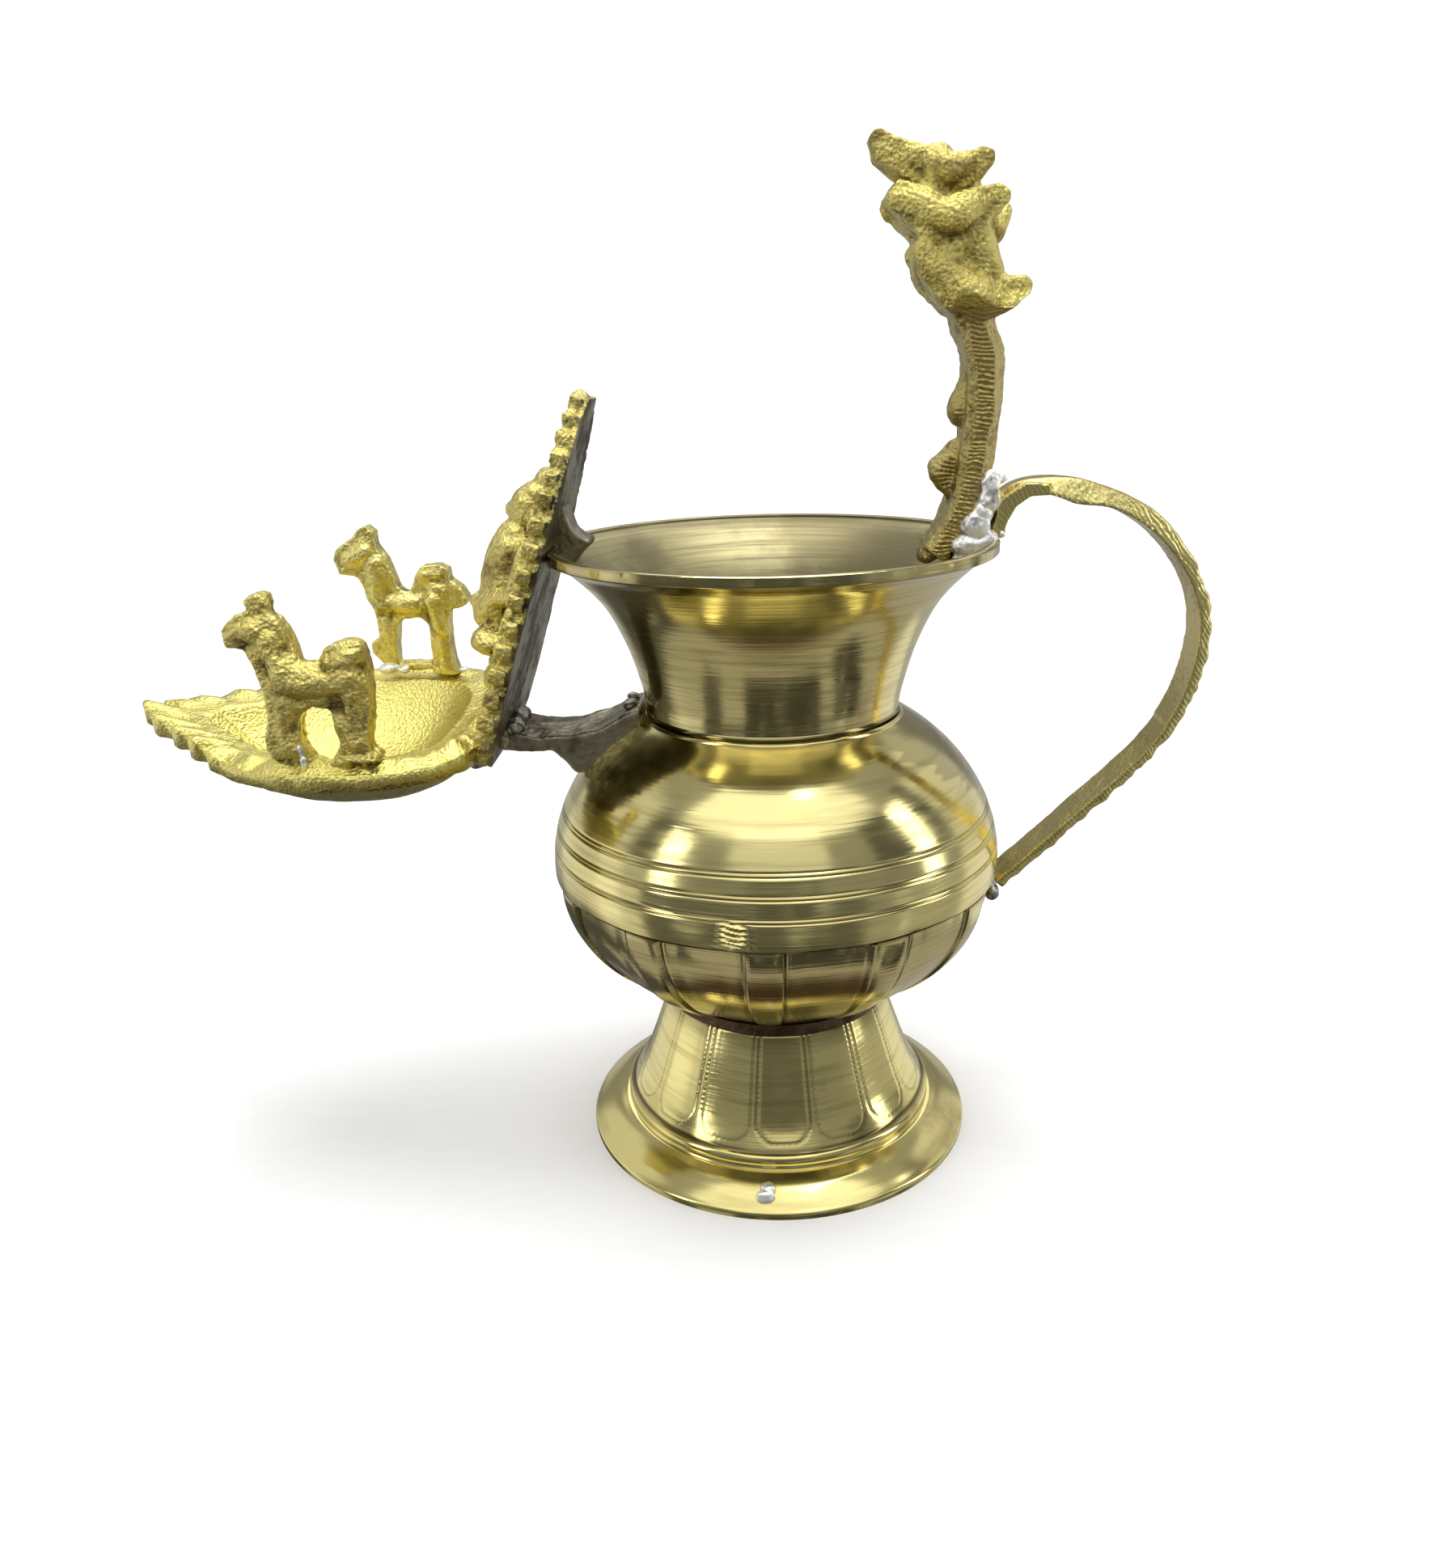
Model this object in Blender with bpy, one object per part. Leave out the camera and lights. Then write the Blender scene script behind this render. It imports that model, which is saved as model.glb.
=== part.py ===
"""Brass oil-lamp pot: a kalash-shaped pot on a bell foot, with a strap handle, a serpent plaque,
an upright back plate and a leaf-shaped lamp dish that carries two small cast horses.

Lengths are in millimetres in this file and become metres when a mesh is made.
The pot's turning axis is X = 0, Y = 0. It hangs from an empty that stands AXIS_X along the row's X,
so that the row's origin is the middle of the whole object's footprint, on the surface it stands on.
-X is the lamp side, +X is the handle side.
"""

from math import acos, asin, atan2, cos, degrees, pi, radians, sin, sqrt, tan

import bmesh
import bpy
from mathutils import Matrix, Vector

# ---------------------------------------------------------------- driving dimensions (mm)
MM = 0.001
GAP = 0.4                   # solder gap between neighbouring pieces

DISH_REACH = 119.0          # from the pot's axis to the tip of the lamp dish
HANDLE_REACH = 78.3         # from the pot's axis to the outside of the handle
AXIS_X = (DISH_REACH - HANDLE_REACH) / 2

RIM_R = 40.0                # mouth rim, outside
RIM_Z = 116.0               # height of the mouth
NECK_R = 23.2               # foot of the neck, outside
NECK_SEAT_Z = 85.2          # flat land on the shoulder that the neck stands on
BELLY_R = 42.3              # widest radius of the belly
BELLY_Z = 57.0              # height of the widest place
BELLY_UP = 33.6             # semi-axis of the belly above that height
BELLY_DOWN = 30.5           # and below it
SEAM_Z = 55.5               # seam between the two halves of the belly
FOOT_R = 37.8               # base of the foot
WALL = 1.8
FLUTES = 12                 # panels and ribs round the lower bowl
FLUTE_DEPTH = 0.6

STRAP_WIDTH = 8.5           # handle strap, along Y
STRAP_THICK = 2.8

PLAQUE_TOP_Z = 180.6        # highest point of the serpent plaque

PLATE_FOOT = (-50.6, 78.0)  # foot of the back plate's rear face (X, Z)
PLATE_LEAN = radians(18.1)  # its lean towards the pot
PLATE_LENGTH = 67.0         # along the lean
PLATE_THICK = 2.8
SCALLOPS = 14               # along each edge of the plate

DISH_RIM_Z = 84.5           # height of the dish's rim on its middle line
DISH_ROLL = 0.11            # slope of the dish across Y, near side low
DISH_DEPTH = 11.5           # depth of the lamp hollow
DISH_REAR_X = -55.6         # rear edge of the dish, at the back plate
DISH_WALL = 2.0

SEGMENTS = 36               # round a turned piece

for old in list(bpy.data.objects):
    bpy.data.objects.remove(old, do_unlink=True)

pot_axis = bpy.data.objects.new("pot_axis", None)
bpy.context.scene.collection.objects.link(pot_axis)
pot_axis.location = (AXIS_X * MM, 0.0, 0.0)


# ---------------------------------------------------------------- helpers
def metal(name, colour, roughness, metallic=1.0):
    material = bpy.data.materials.new(name)
    material.use_nodes = True
    shader = material.node_tree.nodes["Principled BSDF"]
    shader.inputs["Base Color"].default_value = (*colour, 1.0)
    shader.inputs["Roughness"].default_value = roughness
    shader.inputs["Metallic"].default_value = metallic
    return material


def turned_brass(name):
    return metal(name + "_brass", (0.66, 0.56, 0.27), 0.28)


def cast_brass(name):
    return metal(name + "_brass", (0.80, 0.62, 0.16), 0.42)


def dark_brass(name):
    return metal(name + "_brass", (0.26, 0.21, 0.13), 0.55)


def solder(name):
    return metal(name + "_metal", (0.72, 0.72, 0.70), 0.35)


def add_piece(name, bm, material, smooth_angle=40):
    """Turn a closed bmesh in millimetres into one named object under the pot's axis."""
    bmesh.ops.recalc_face_normals(bm, faces=bm.faces)
    bmesh.ops.scale(bm, vec=(MM, MM, MM), verts=bm.verts)
    mesh = bpy.data.meshes.new(name)
    bm.to_mesh(mesh)
    bm.free()
    mesh.materials.append(material)
    mesh.shade_smooth()
    mesh.set_sharp_from_angle(angle=radians(smooth_angle))
    piece = bpy.data.objects.new(name, mesh)
    bpy.context.scene.collection.objects.link(piece)
    piece.parent = pot_axis
    return piece


def add_cutter(name, bm):
    cutter = add_piece(name, bm, metal(name, (0.5, 0.5, 0.5), 0.5, 0.0))
    cutter.hide_render = True
    cutter.display_type = "WIRE"
    return cutter


def cut(piece, cutter):
    modifier = piece.modifiers.new("cut_" + cutter.name, "BOOLEAN")
    modifier.operation = "DIFFERENCE"
    modifier.solver = "EXACT"
    modifier.object = cutter


def fuse(piece, voxel, ratio):
    """Melt overlapping lumps into one casting and thin the mesh out."""
    remesh = piece.modifiers.new("fuse", "REMESH")
    remesh.mode = "VOXEL"
    remesh.voxel_size = voxel * MM
    remesh.adaptivity = 0.0
    thin = piece.modifiers.new("thin", "DECIMATE")
    thin.ratio = ratio


def turned(outline, angles=None, radius_at=None):
    """Sweep a closed outline of (r, z) round the axis. A point with r = 0 becomes one pole vertex."""
    if angles is None:
        angles = [2 * pi * i / SEGMENTS for i in range(SEGMENTS)]
    bm = bmesh.new()
    rings = []
    for r, z in outline:
        if r == 0:
            rings.append([bm.verts.new((0, 0, z))])
            continue
        ring = []
        for angle in angles:
            rr = radius_at(r, z, angle) if radius_at else r
            ring.append(bm.verts.new((rr * cos(angle), rr * sin(angle), z)))
        rings.append(ring)
    count = len(angles)
    for low, high in zip(rings, rings[1:] + rings[:1]):
        if len(low) == 1 and len(high) == 1:
            continue
        for i in range(count):
            j = (i + 1) % count
            if len(low) == 1:
                bm.faces.new((low[0], high[j], high[i]))
            elif len(high) == 1:
                bm.faces.new((low[i], low[j], high[0]))
            else:
                bm.faces.new((low[i], low[j], high[j], high[i]))
    return bm


def smooth_line(points, steps):
    """A Catmull-Rom curve through the points, with a number of steps between neighbours."""
    ends = [tuple(2 * a - b for a, b in zip(points[0], points[1]))]
    ends += [tuple(p) for p in points]
    ends += [tuple(2 * a - b for a, b in zip(points[-1], points[-2]))]
    line = []
    for k in range(1, len(ends) - 2):
        p0, p1, p2, p3 = ends[k - 1:k + 3]
        for step in range(steps):
            t = step / steps
            line.append(tuple(
                0.5 * (2 * b + (c - a) * t + (2 * a - 5 * b + 4 * c - d) * t * t
                       + (3 * b - a - 3 * c + d) * t ** 3)
                for a, b, c, d in zip(p0, p1, p2, p3)))
    line.append(tuple(points[-1]))
    return line


def belly(angle, grow=0.0):
    """Point (r, z) of the belly's outside, angle 0 at the widest place, grown outwards by grow."""
    height = BELLY_UP if angle >= 0 else BELLY_DOWN
    return (BELLY_R + grow) * cos(angle), BELLY_Z + (height + grow) * sin(angle)


def belly_arc(start, end, steps, grow=0.0):
    return [belly(start + (end - start) * i / steps, grow) for i in range(steps + 1)]


def loft(sections, bm=None):
    """Skin a row of loops that have the same number of points, and cap both ends."""
    bm = bm or bmesh.new()
    rings = [[bm.verts.new(p) for p in section] for section in sections]
    for first, second in zip(rings, rings[1:]):
        for i in range(len(first)):
            j = (i + 1) % len(first)
            bm.faces.new((first[i], first[j], second[j], second[i]))
    bm.faces.new(rings[0])
    bm.faces.new(rings[-1])
    return bm


def ribbon(line, half_width, half_thick, power=4.0, points=8, bm=None):
    """Loft a flat bar along (x, z, ...) stations in the XZ plane. The widths may change along it."""
    sections = []
    for k, station in enumerate(line):
        before = Vector(line[max(k - 1, 0)][:2])
        after = Vector(line[min(k + 1, len(line) - 1)][:2])
        along = (after - before).normalized()
        across = Vector((-along.y, along.x))
        wide, thick = half_width(k), half_thick(k)
        section = []
        for i in range(points):
            a = 2 * pi * (i + 0.5) / points
            u = abs(cos(a)) ** (2 / power) * (1 if cos(a) > 0 else -1) * wide
            v = abs(sin(a)) ** (2 / power) * (1 if sin(a) > 0 else -1) * thick
            section.append((station[0] + across.x * v, u, station[1] + across.y * v))
        sections.append(section)
    return loft(sections, bm)


def add_lump(bm, centre, radii, tilt=0.0, turn=0.0, detail=2):
    """Add an ellipsoid. tilt turns it about Y and turn about X, in degrees."""
    matrix = Matrix.Translation(centre)
    matrix = matrix @ Matrix.Rotation(radians(tilt), 4, "Y") @ Matrix.Rotation(radians(turn), 4, "X")
    matrix = matrix @ Matrix.Diagonal((*radii, 1.0))
    bmesh.ops.create_icosphere(bm, subdivisions=detail, radius=1.0, matrix=matrix)


def blob(name, lumps, voxel=0.45, ratio=0.18):
    bm = bmesh.new()
    for lump in lumps:
        add_lump(bm, *lump)
    piece = add_piece(name, bm, solder(name), 80)
    fuse(piece, voxel, ratio)
    return piece


# ---------------------------------------------------------------- turned pot
def make_foot():
    """Bell foot: a wide flange, a step ring and a hollow bell whose top socket takes the bowl's ring."""
    outside = [(FOOT_R, 0.0), (FOOT_R, 1.2), (37.2, 1.9), (33.6, 4.2), (30.6, 5.3), (30.4, 7.6), (29.3, 8.2)]
    bell = smooth_line([(29.3, 8.2), (27.2, 12.0), (24.2, 20.0), (21.4, 27.6)], 2)
    inside = smooth_line([(19.4, 27.0), (22.4, 20.0), (25.4, 12.0), (27.6, 8.0)], 2)
    under = [(28.8, 5.4), (33.4, 2.6), (35.6, 1.2), (35.9, 0.0)]
    outline = outside + bell[1:] + [(19.7, 29.1), (18.6, 29.1)] + inside + under
    return add_piece("foot", turned(outline), turned_brass("foot"))


def flute_angles():
    """Four edges for each flute: both edges of the raised rib, and both edges of the panel."""
    pitch = 360 / FLUTES
    corners = (-4.8, 4.8, 6.2, 23.8)
    return [radians(pitch * k + corner - 92.8) for k in range(FLUTES) for corner in corners]


def make_lower_bowl():
    """Fluted half of the belly, with a tongue for the upper half and a locating ring for the foot."""
    seam = asin((SEAM_Z - BELLY_Z) / BELLY_DOWN)
    ring_edge = acos(18.2 / BELLY_R)
    outside = belly_arc(seam, -ring_edge, 8)
    ring = [(18.2, 26.9), (16.4, 26.9), (16.4, belly(-acos(16.4 / BELLY_R))[1])]
    under = [belly(-radians(78)), (0.0, BELLY_Z - BELLY_DOWN)]
    inner_r, inner_down = 40.2, BELLY_DOWN - WALL
    inside = [(inner_r * sin(radians(a)), BELLY_Z - inner_down * cos(radians(a))) for a in range(15, 88, 18)]
    inside = [(0.0, BELLY_Z - inner_down)] + inside
    tongue = [(inner_r, SEAM_Z + 2.0), (41.0, SEAM_Z + 2.0), (41.0, SEAM_Z)]
    outline = outside + ring + under + inside + tongue
    angles = flute_angles()
    ribs = {round(a, 6) for k, a in enumerate(angles) if k % 4 < 2}

    def radius_at(r, z, angle):
        on_wall = r > 24 and 29 < z < SEAM_Z - 0.2 and abs(r - belly(-acos(min(r / BELLY_R, 1)))[0]) < 1
        outer = on_wall and r > inner_r * sqrt(max(0, 1 - ((BELLY_Z - z) / inner_down) ** 2)) + 0.9
        return r - FLUTE_DEPTH if outer and round(angle, 6) not in ribs else r

    return add_piece("lower_bowl", turned(outline, angles, radius_at), turned_brass("lower_bowl"))


def make_upper_bowl():
    """Shoulder half of the belly: rabbet over the tongue below, flat land and hole for the neck above."""
    bottom = asin((SEAM_Z + 0.3 - BELLY_Z) / BELLY_DOWN)
    top = acos(24.0 / BELLY_R)
    outside = belly_arc(bottom, top, 9)
    land = [(24.0, NECK_SEAT_Z), (21.9, NECK_SEAT_Z)]
    inner_r, inner_up = BELLY_R - WALL, BELLY_UP - WALL
    high = acos(21.9 / inner_r)
    low = asin((SEAM_Z + 2.6 - BELLY_Z) / inner_up)
    inside = [(inner_r * cos(a), BELLY_Z + inner_up * sin(a))
              for a in (high + (low - high) * i / 7 for i in range(8))]
    rabbet = [(41.35, SEAM_Z + 2.6), (41.35, SEAM_Z + 0.3)]
    return add_piece("upper_bowl", turned(outside + land + inside + rabbet), turned_brass("upper_bowl"))


def neck_line():
    return smooth_line([(NECK_R, 86.0), (23.9, 90.0), (26.3, 98.0), (30.3, 106.0), (36.0, 112.0), (39.6, 114.5)], 2)


def make_neck():
    """Trumpet neck with a turned mouth rim, and a spigot that drops into the hole in the shoulder."""
    outer = neck_line()
    inner = []
    for k, (r, z) in enumerate(outer):
        r0, z0 = outer[max(k - 1, 0)]
        r1, z1 = outer[min(k + 1, len(outer) - 1)]
        length = sqrt((r1 - r0) ** 2 + (z1 - z0) ** 2)
        inner.append((r - WALL * (z1 - z0) / length, z + WALL * (r1 - r0) / length))
    inner = [p for p in inner if 88.0 < p[1] < RIM_Z - 0.6]
    spigot = [(20.3, NECK_SEAT_Z + 1.2), (20.3, 82.6), (21.5, 82.6), (21.5, NECK_SEAT_Z + GAP)]
    rim = [(RIM_R, 115.0), (RIM_R, RIM_Z), (38.5, RIM_Z)]
    outline = [(NECK_R, NECK_SEAT_Z + GAP)] + outer + rim + inner[::-1] + spigot
    neck = add_piece("neck_funnel", turned(outline), turned_brass("neck_funnel"))
    cut(neck, make_plate_back_cutter())
    return neck


def make_plate_back_cutter():
    """Slab just behind the back plate: it files a flat on the mouth rim where the plate is soldered."""
    x, z = PLATE_FOOT
    slope = tan(PLATE_LEAN)
    low, high = 108.0, 120.0
    profile = [(x + (low - z) * slope + GAP, low), (x + (high - z) * slope + GAP, high), (-60, high), (-60, low)]
    return add_cutter("rim_flat_cutter", loft([[(px, y, pz) for px, pz in profile] for y in (-30, 30)]))


def make_shoulder_cutter():
    outline = [(0.0, 60.0)] + belly_arc(radians(6), radians(60), 12, GAP) + [(0.0, belly(radians(60), GAP)[1])]
    return add_cutter("shoulder_cutter", turned(outline, [2 * pi * i / 96 for i in range(96)]))


# ---------------------------------------------------------------- handle and serpent plaque
HANDLE_LINE = [(39.4, 116.5), (40.1, 121.4), (44.6, 124.6), (55.3, 123.9), (67.6, 117.4),
               (75.9, 104.6), (76.2, 91.5), (70.4, 78.2), (56.6, 63.8), (42.9, 50.6)]


def make_handle():
    """Forged strap: up from the rim, round the hand and down to the belly. Its face is gently wavy."""
    line = smooth_line(HANDLE_LINE, 4)
    bm = ribbon(line, lambda k: STRAP_WIDTH / 2, lambda k: STRAP_THICK / 2 + 0.12 * sin(2.4 * k), 6.0, 8)
    piece = add_piece("handle_strap", bm, cast_brass("handle_strap"))
    reach = max(v.co.x for v in piece.data.vertices) / MM
    for v in piece.data.vertices:
        if v.co.x > 0.070:
            v.co.x += (HANDLE_REACH - reach) * MM
    return piece


STEM_LINE = [(28.6, 111.6), (32.6, 117.0), (35.0, 122.5), (35.7, 130.0), (36.7, 138.0), (36.2, 145.5), (33.6, 152.0)]


def make_plaque():
    """Serpent plaque: an S-shaped stem, three tiers of upswept hood leaves and a small figure in front."""
    bm = bmesh.new()
    stem = smooth_line(STEM_LINE, 3)
    ribbon(stem, lambda k: 6.0 + 0.12 * k, lambda k: 1.9 + 1.2 * sin(pi * k / (len(stem) + 4)), 4.0, 10, bm)
    tiers = [([(25.2, 159.8), (29.5, 154.2), (36.2, 151.5), (41.5, 154.6), (44.9, 157.2)], 10.5),
             ([(20.4, 172.2), (26.0, 165.8), (32.0, 163.2), (36.8, 167.0), (40.6, 171.6)], 12.0),
             ([(17.9, 179.9), (22.0, 174.6), (28.0, 172.6), (33.8, 174.2), (37.6, 176.6)], 8.0)]
    for points, width in tiers:
        line = smooth_line(points, 3)
        last = len(line) - 1
        ribbon(line, lambda k: 1.2 + width * sin(pi * k / last) ** 0.8,
               lambda k: 0.8 + 2.6 * sin(pi * k / last), 2.4, 10, bm)
    add_lump(bm, (31.0, 0, 160.5), (4.6, 6.5, 8.0), -12)
    add_lump(bm, (30.0, 0, 169.5), (5.0, 6.0, 7.5), -14)
    for z, size in ((138.5, 4.0), (127.8, 3.6)):
        add_lump(bm, (33.2, 0, z), (2.6, size + 1.0, size))
    piece = add_piece("serpent_plaque", bm, cast_brass("serpent_plaque"), 60)
    top = max(v.co.z for v in piece.data.vertices) / MM
    for v in piece.data.vertices:
        if v.co.z > 0.176:
            v.co.z += (PLAQUE_TOP_Z - top) * MM
    fuse(piece, 0.7, 0.07)
    return piece


# ---------------------------------------------------------------- back plate
def on_plate(y, s, d):
    """Point at width y, distance s up the plate and distance d in front of its rear face."""
    x, z = PLATE_FOOT
    return (x + s * sin(PLATE_LEAN) - d * cos(PLATE_LEAN), y, z + s * cos(PLATE_LEAN) + d * sin(PLATE_LEAN))


def plate_half_width(s):
    low = 17.0 + 1.5 * sin(pi * min(s / 34, 1))
    return low if s < 22 else low * sqrt(max(0.0, 1 - ((s - 22) / (PLATE_LENGTH - 21.4)) ** 2.2))


def make_back_plate():
    """Upright arched plate with a scalloped edge, cast in one with a seated figure on its lamp side."""
    side = []
    steps = SCALLOPS * 3
    for k in range(steps):
        s = 0.4 + (PLATE_LENGTH - 1.2) * k / steps
        side.append((max(0.6, plate_half_width(s) + 0.7 * abs(sin(pi * k / 3))), s))
    outline = [(y, s) for y, s in side] + [(0.0, PLATE_LENGTH)] + [(-y, s) for y, s in side[::-1]]
    bm = loft([[on_plate(y, s, d) for y, s in outline] for d in (0.0, PLATE_THICK)])
    piece = add_piece("back_plate", bm, cast_brass("back_plate"), 30)
    figure = bmesh.new()
    lumps = [((0, 44.5, 5.2), (4.8, 5.4, 4.4)), ((0, 33.0, 4.6), (6.4, 9.0, 6.0)),
             ((0, 21.5, 5.0), (12.0, 5.0, 6.0)), ((0, 14.0, 4.0), (11.0, 3.2, 3.6)),
             ((7.4, 30.0, 4.0), (2.8, 8.0, 3.4)), ((-7.4, 30.0, 4.0), (2.8, 8.0, 3.4)),
             ((0, 29.0, 2.4), (9.6, 17.0, 3.0))]
    for centre, radii in lumps:
        tilt = Matrix.Rotation(PLATE_LEAN, 4, "Y")
        matrix = Matrix.Translation(on_plate(*centre)) @ tilt @ Matrix.Diagonal((radii[2], radii[0], radii[1], 1))
        bmesh.ops.create_icosphere(figure, subdivisions=2, radius=1.0, matrix=matrix)
    relief = add_cutter("figure_relief", figure)
    fuse(relief, 0.9, 0.16)
    join = piece.modifiers.new("relief", "BOOLEAN")
    join.operation = "UNION"
    join.solver = "EXACT"
    join.object = relief
    return piece


# ---------------------------------------------------------------- lamp dish and its supports
DISH_EDGE = [(-DISH_REACH, 0.0), (-114.0, 5.6), (-108.0, 11.6), (-99.0, 19.4), (-89.0, 25.4),
             (-78.0, 27.8), (-67.0, 26.2), (-59.0, 21.8), (DISH_REAR_X, 16.5), (DISH_REAR_X, 0.0)]
DISH_CENTRE = (-77.0, 0.0)
HOLLOW = 0.74               # edge of the hollow, as a part of the way out to the dish's edge


def dish_edge():
    half = smooth_line(DISH_EDGE[:-1], 3)
    far = half + [(DISH_REAR_X, 8.0)]
    return far + [(DISH_REAR_X, 0.0)] + [(x, -y) for x, y in far[:0:-1]]


def make_dish():
    """Leaf-shaped lamp dish: a round hollow for the oil, and a lip that rises to the wick tip."""
    edge = dish_edge()
    cx, cy = DISH_CENTRE
    inside, outside = (0.12, 0.35, 0.52, 0.64, HOLLOW, 0.86, 1.0), (1.0, 0.88, 0.80, 0.66, 0.48, 0.24)

    def rim(x, y):
        lift = 2.0 * max(0.0, (-95 - x) / 24) ** 1.3
        return DISH_RIM_Z + DISH_ROLL * y + lift

    def ring(t, under):
        points = []
        for x, y in edge:
            px, py = cx + (x - cx) * t, cy + (y - cy) * t
            depth = DISH_DEPTH * (1 - min(t / HOLLOW, 1) ** 2.6)
            z = rim(px, py) - depth
            if under:
                z = rim(px, py) - DISH_WALL - DISH_DEPTH * (1 - min(t / 0.80, 1) ** 2.6)
            points.append((px, py, z))
        return points

    bm = bmesh.new()
    rings = [[bm.verts.new(p) for p in ring(t, False)] for t in inside]
    rings += [[bm.verts.new(p) for p in ring(t, True)] for t in outside]
    for first, second in zip(rings, rings[1:]):
        for i in range(len(first)):
            j = (i + 1) % len(first)
            bm.faces.new((first[i], first[j], second[j], second[i]))
    for ring_verts in (rings[0], rings[-1]):
        middle = sum((v.co for v in ring_verts), Vector()) / len(ring_verts)
        centre = bm.verts.new(middle)
        for i in range(len(ring_verts)):
            bm.faces.new((ring_verts[i], ring_verts[(i + 1) % len(ring_verts)], centre))
    return add_piece("lamp_dish", bm, cast_brass("lamp_dish"))


def make_horse(name, x, y, z, grain):
    """Small solid-cast horse, nose towards -X: two leg pillars, a barrel, a thick neck and a head."""
    bm = bmesh.new()
    add_lump(bm, (x + 13.5, y, z + 14.0), (9.5, 4.3, 4.4), -4)
    add_lump(bm, (x + 20.0, y, z + 16.6), (4.6, 3.9, 4.2))
    for leg_x, size in ((8.3, 2.5), (20.0, 2.7)):
        for side in (-1, 1):
            add_lump(bm, (x + leg_x, y + 1.5 * side, z + 7.2), (size, 2.1, 7.0))
        add_lump(bm, (x + leg_x, y, z + 2.2), (size + 1.3, 3.6, 2.2))
    add_lump(bm, (x + 8.0, y, z + 19.5), (4.1, 3.4, 6.6), -24)
    add_lump(bm, (x + 4.6, y, z + 23.6), (4.9, 3.0, 3.3), -14)
    add_lump(bm, (x + 7.0, y, z + 27.2), (1.7, 2.0, 2.9), 8)
    for v in bm.verts:
        v.co += Vector((sin(v.co.z * 1.9), cos(v.co.x * 1.7), sin(v.co.y * 2.3 + v.co.x))) * grain
    piece = add_piece(name, bm, cast_brass(name), 70)
    fuse(piece, 0.75, 0.11)
    return piece


def make_bracket():
    """Flat bar from the foot of the back plate to the shoulder, hammered down to fit the pot."""
    x, z = PLATE_FOOT
    rear = x + (80.7 - z) * tan(PLATE_LEAN) + GAP + 0.5
    top = [(rear, 82.2), (-43.0, 82.0), (-37.0, 82.2), (-31.5, 83.6), (-25.4, 85.9)]
    bottom = [(-25.4, 80.0), (-31.5, 76.0), (-35.6, 76.4), (-38.4, 79.2), (-43.0, 79.6), (rear, 79.6)]
    outline = top + bottom
    widths = (-7.4, -7.0, 7.0, 7.4)
    sections = []
    for y in widths:
        shrink = 0.4 if abs(y) > 7.2 else 0.0
        middle = Vector((-38.0, 81.0))
        sections.append([(middle.x + (px - middle.x) * (1 - shrink / 14), y, middle.y + (pz - middle.y)
                          * (1 - shrink / 3)) for px, pz in outline])
    piece = add_piece("bracket_bar", loft(sections), dark_brass("bracket_bar"), 30)
    cut(piece, make_shoulder_cutter())
    return piece


def make_rim_lug():
    """Small brass lug in the corner between the mouth rim and the back plate."""
    x, z = PLATE_FOOT
    slope = tan(PLATE_LEAN)
    low, high = RIM_Z + GAP, RIM_Z + 5.2
    back_low, back_high = x + (low - z) * slope + GAP + 0.2, x + (high - z) * slope + GAP + 0.2
    outline = [(back_low, low), (back_high, high), (back_high + 1.0, high), (-34.4, low + 1.4), (-34.0, low)]
    sections = [[(px, y, pz) for px, pz in outline] for y in (-4.5, 4.5)]
    return add_piece("rim_lug", loft(sections), dark_brass("rim_lug"), 30)


# ---------------------------------------------------------------- solder
def make_solder_rings():
    neck = [(21.95, 82.7), (21.95, 81.7), (22.6, 81.6), (23.6, 82.0)]
    add_piece("solder_neck_ring", turned(neck), solder("solder_neck_ring"))
    seam = [(39.2, SEAM_Z + 0.6), (39.2, SEAM_Z + 3.4), (38.6, SEAM_Z + 3.0), (38.5, SEAM_Z + 1.0)]
    add_piece("solder_belly_ring", turned(seam), solder("solder_belly_ring"))
    foot = [(20.4, 29.1), (20.4, 29.8), (22.1, 30.5), (22.0, 28.3)]
    add_piece("solder_foot_ring", turned(foot), solder("solder_foot_ring"))


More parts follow.
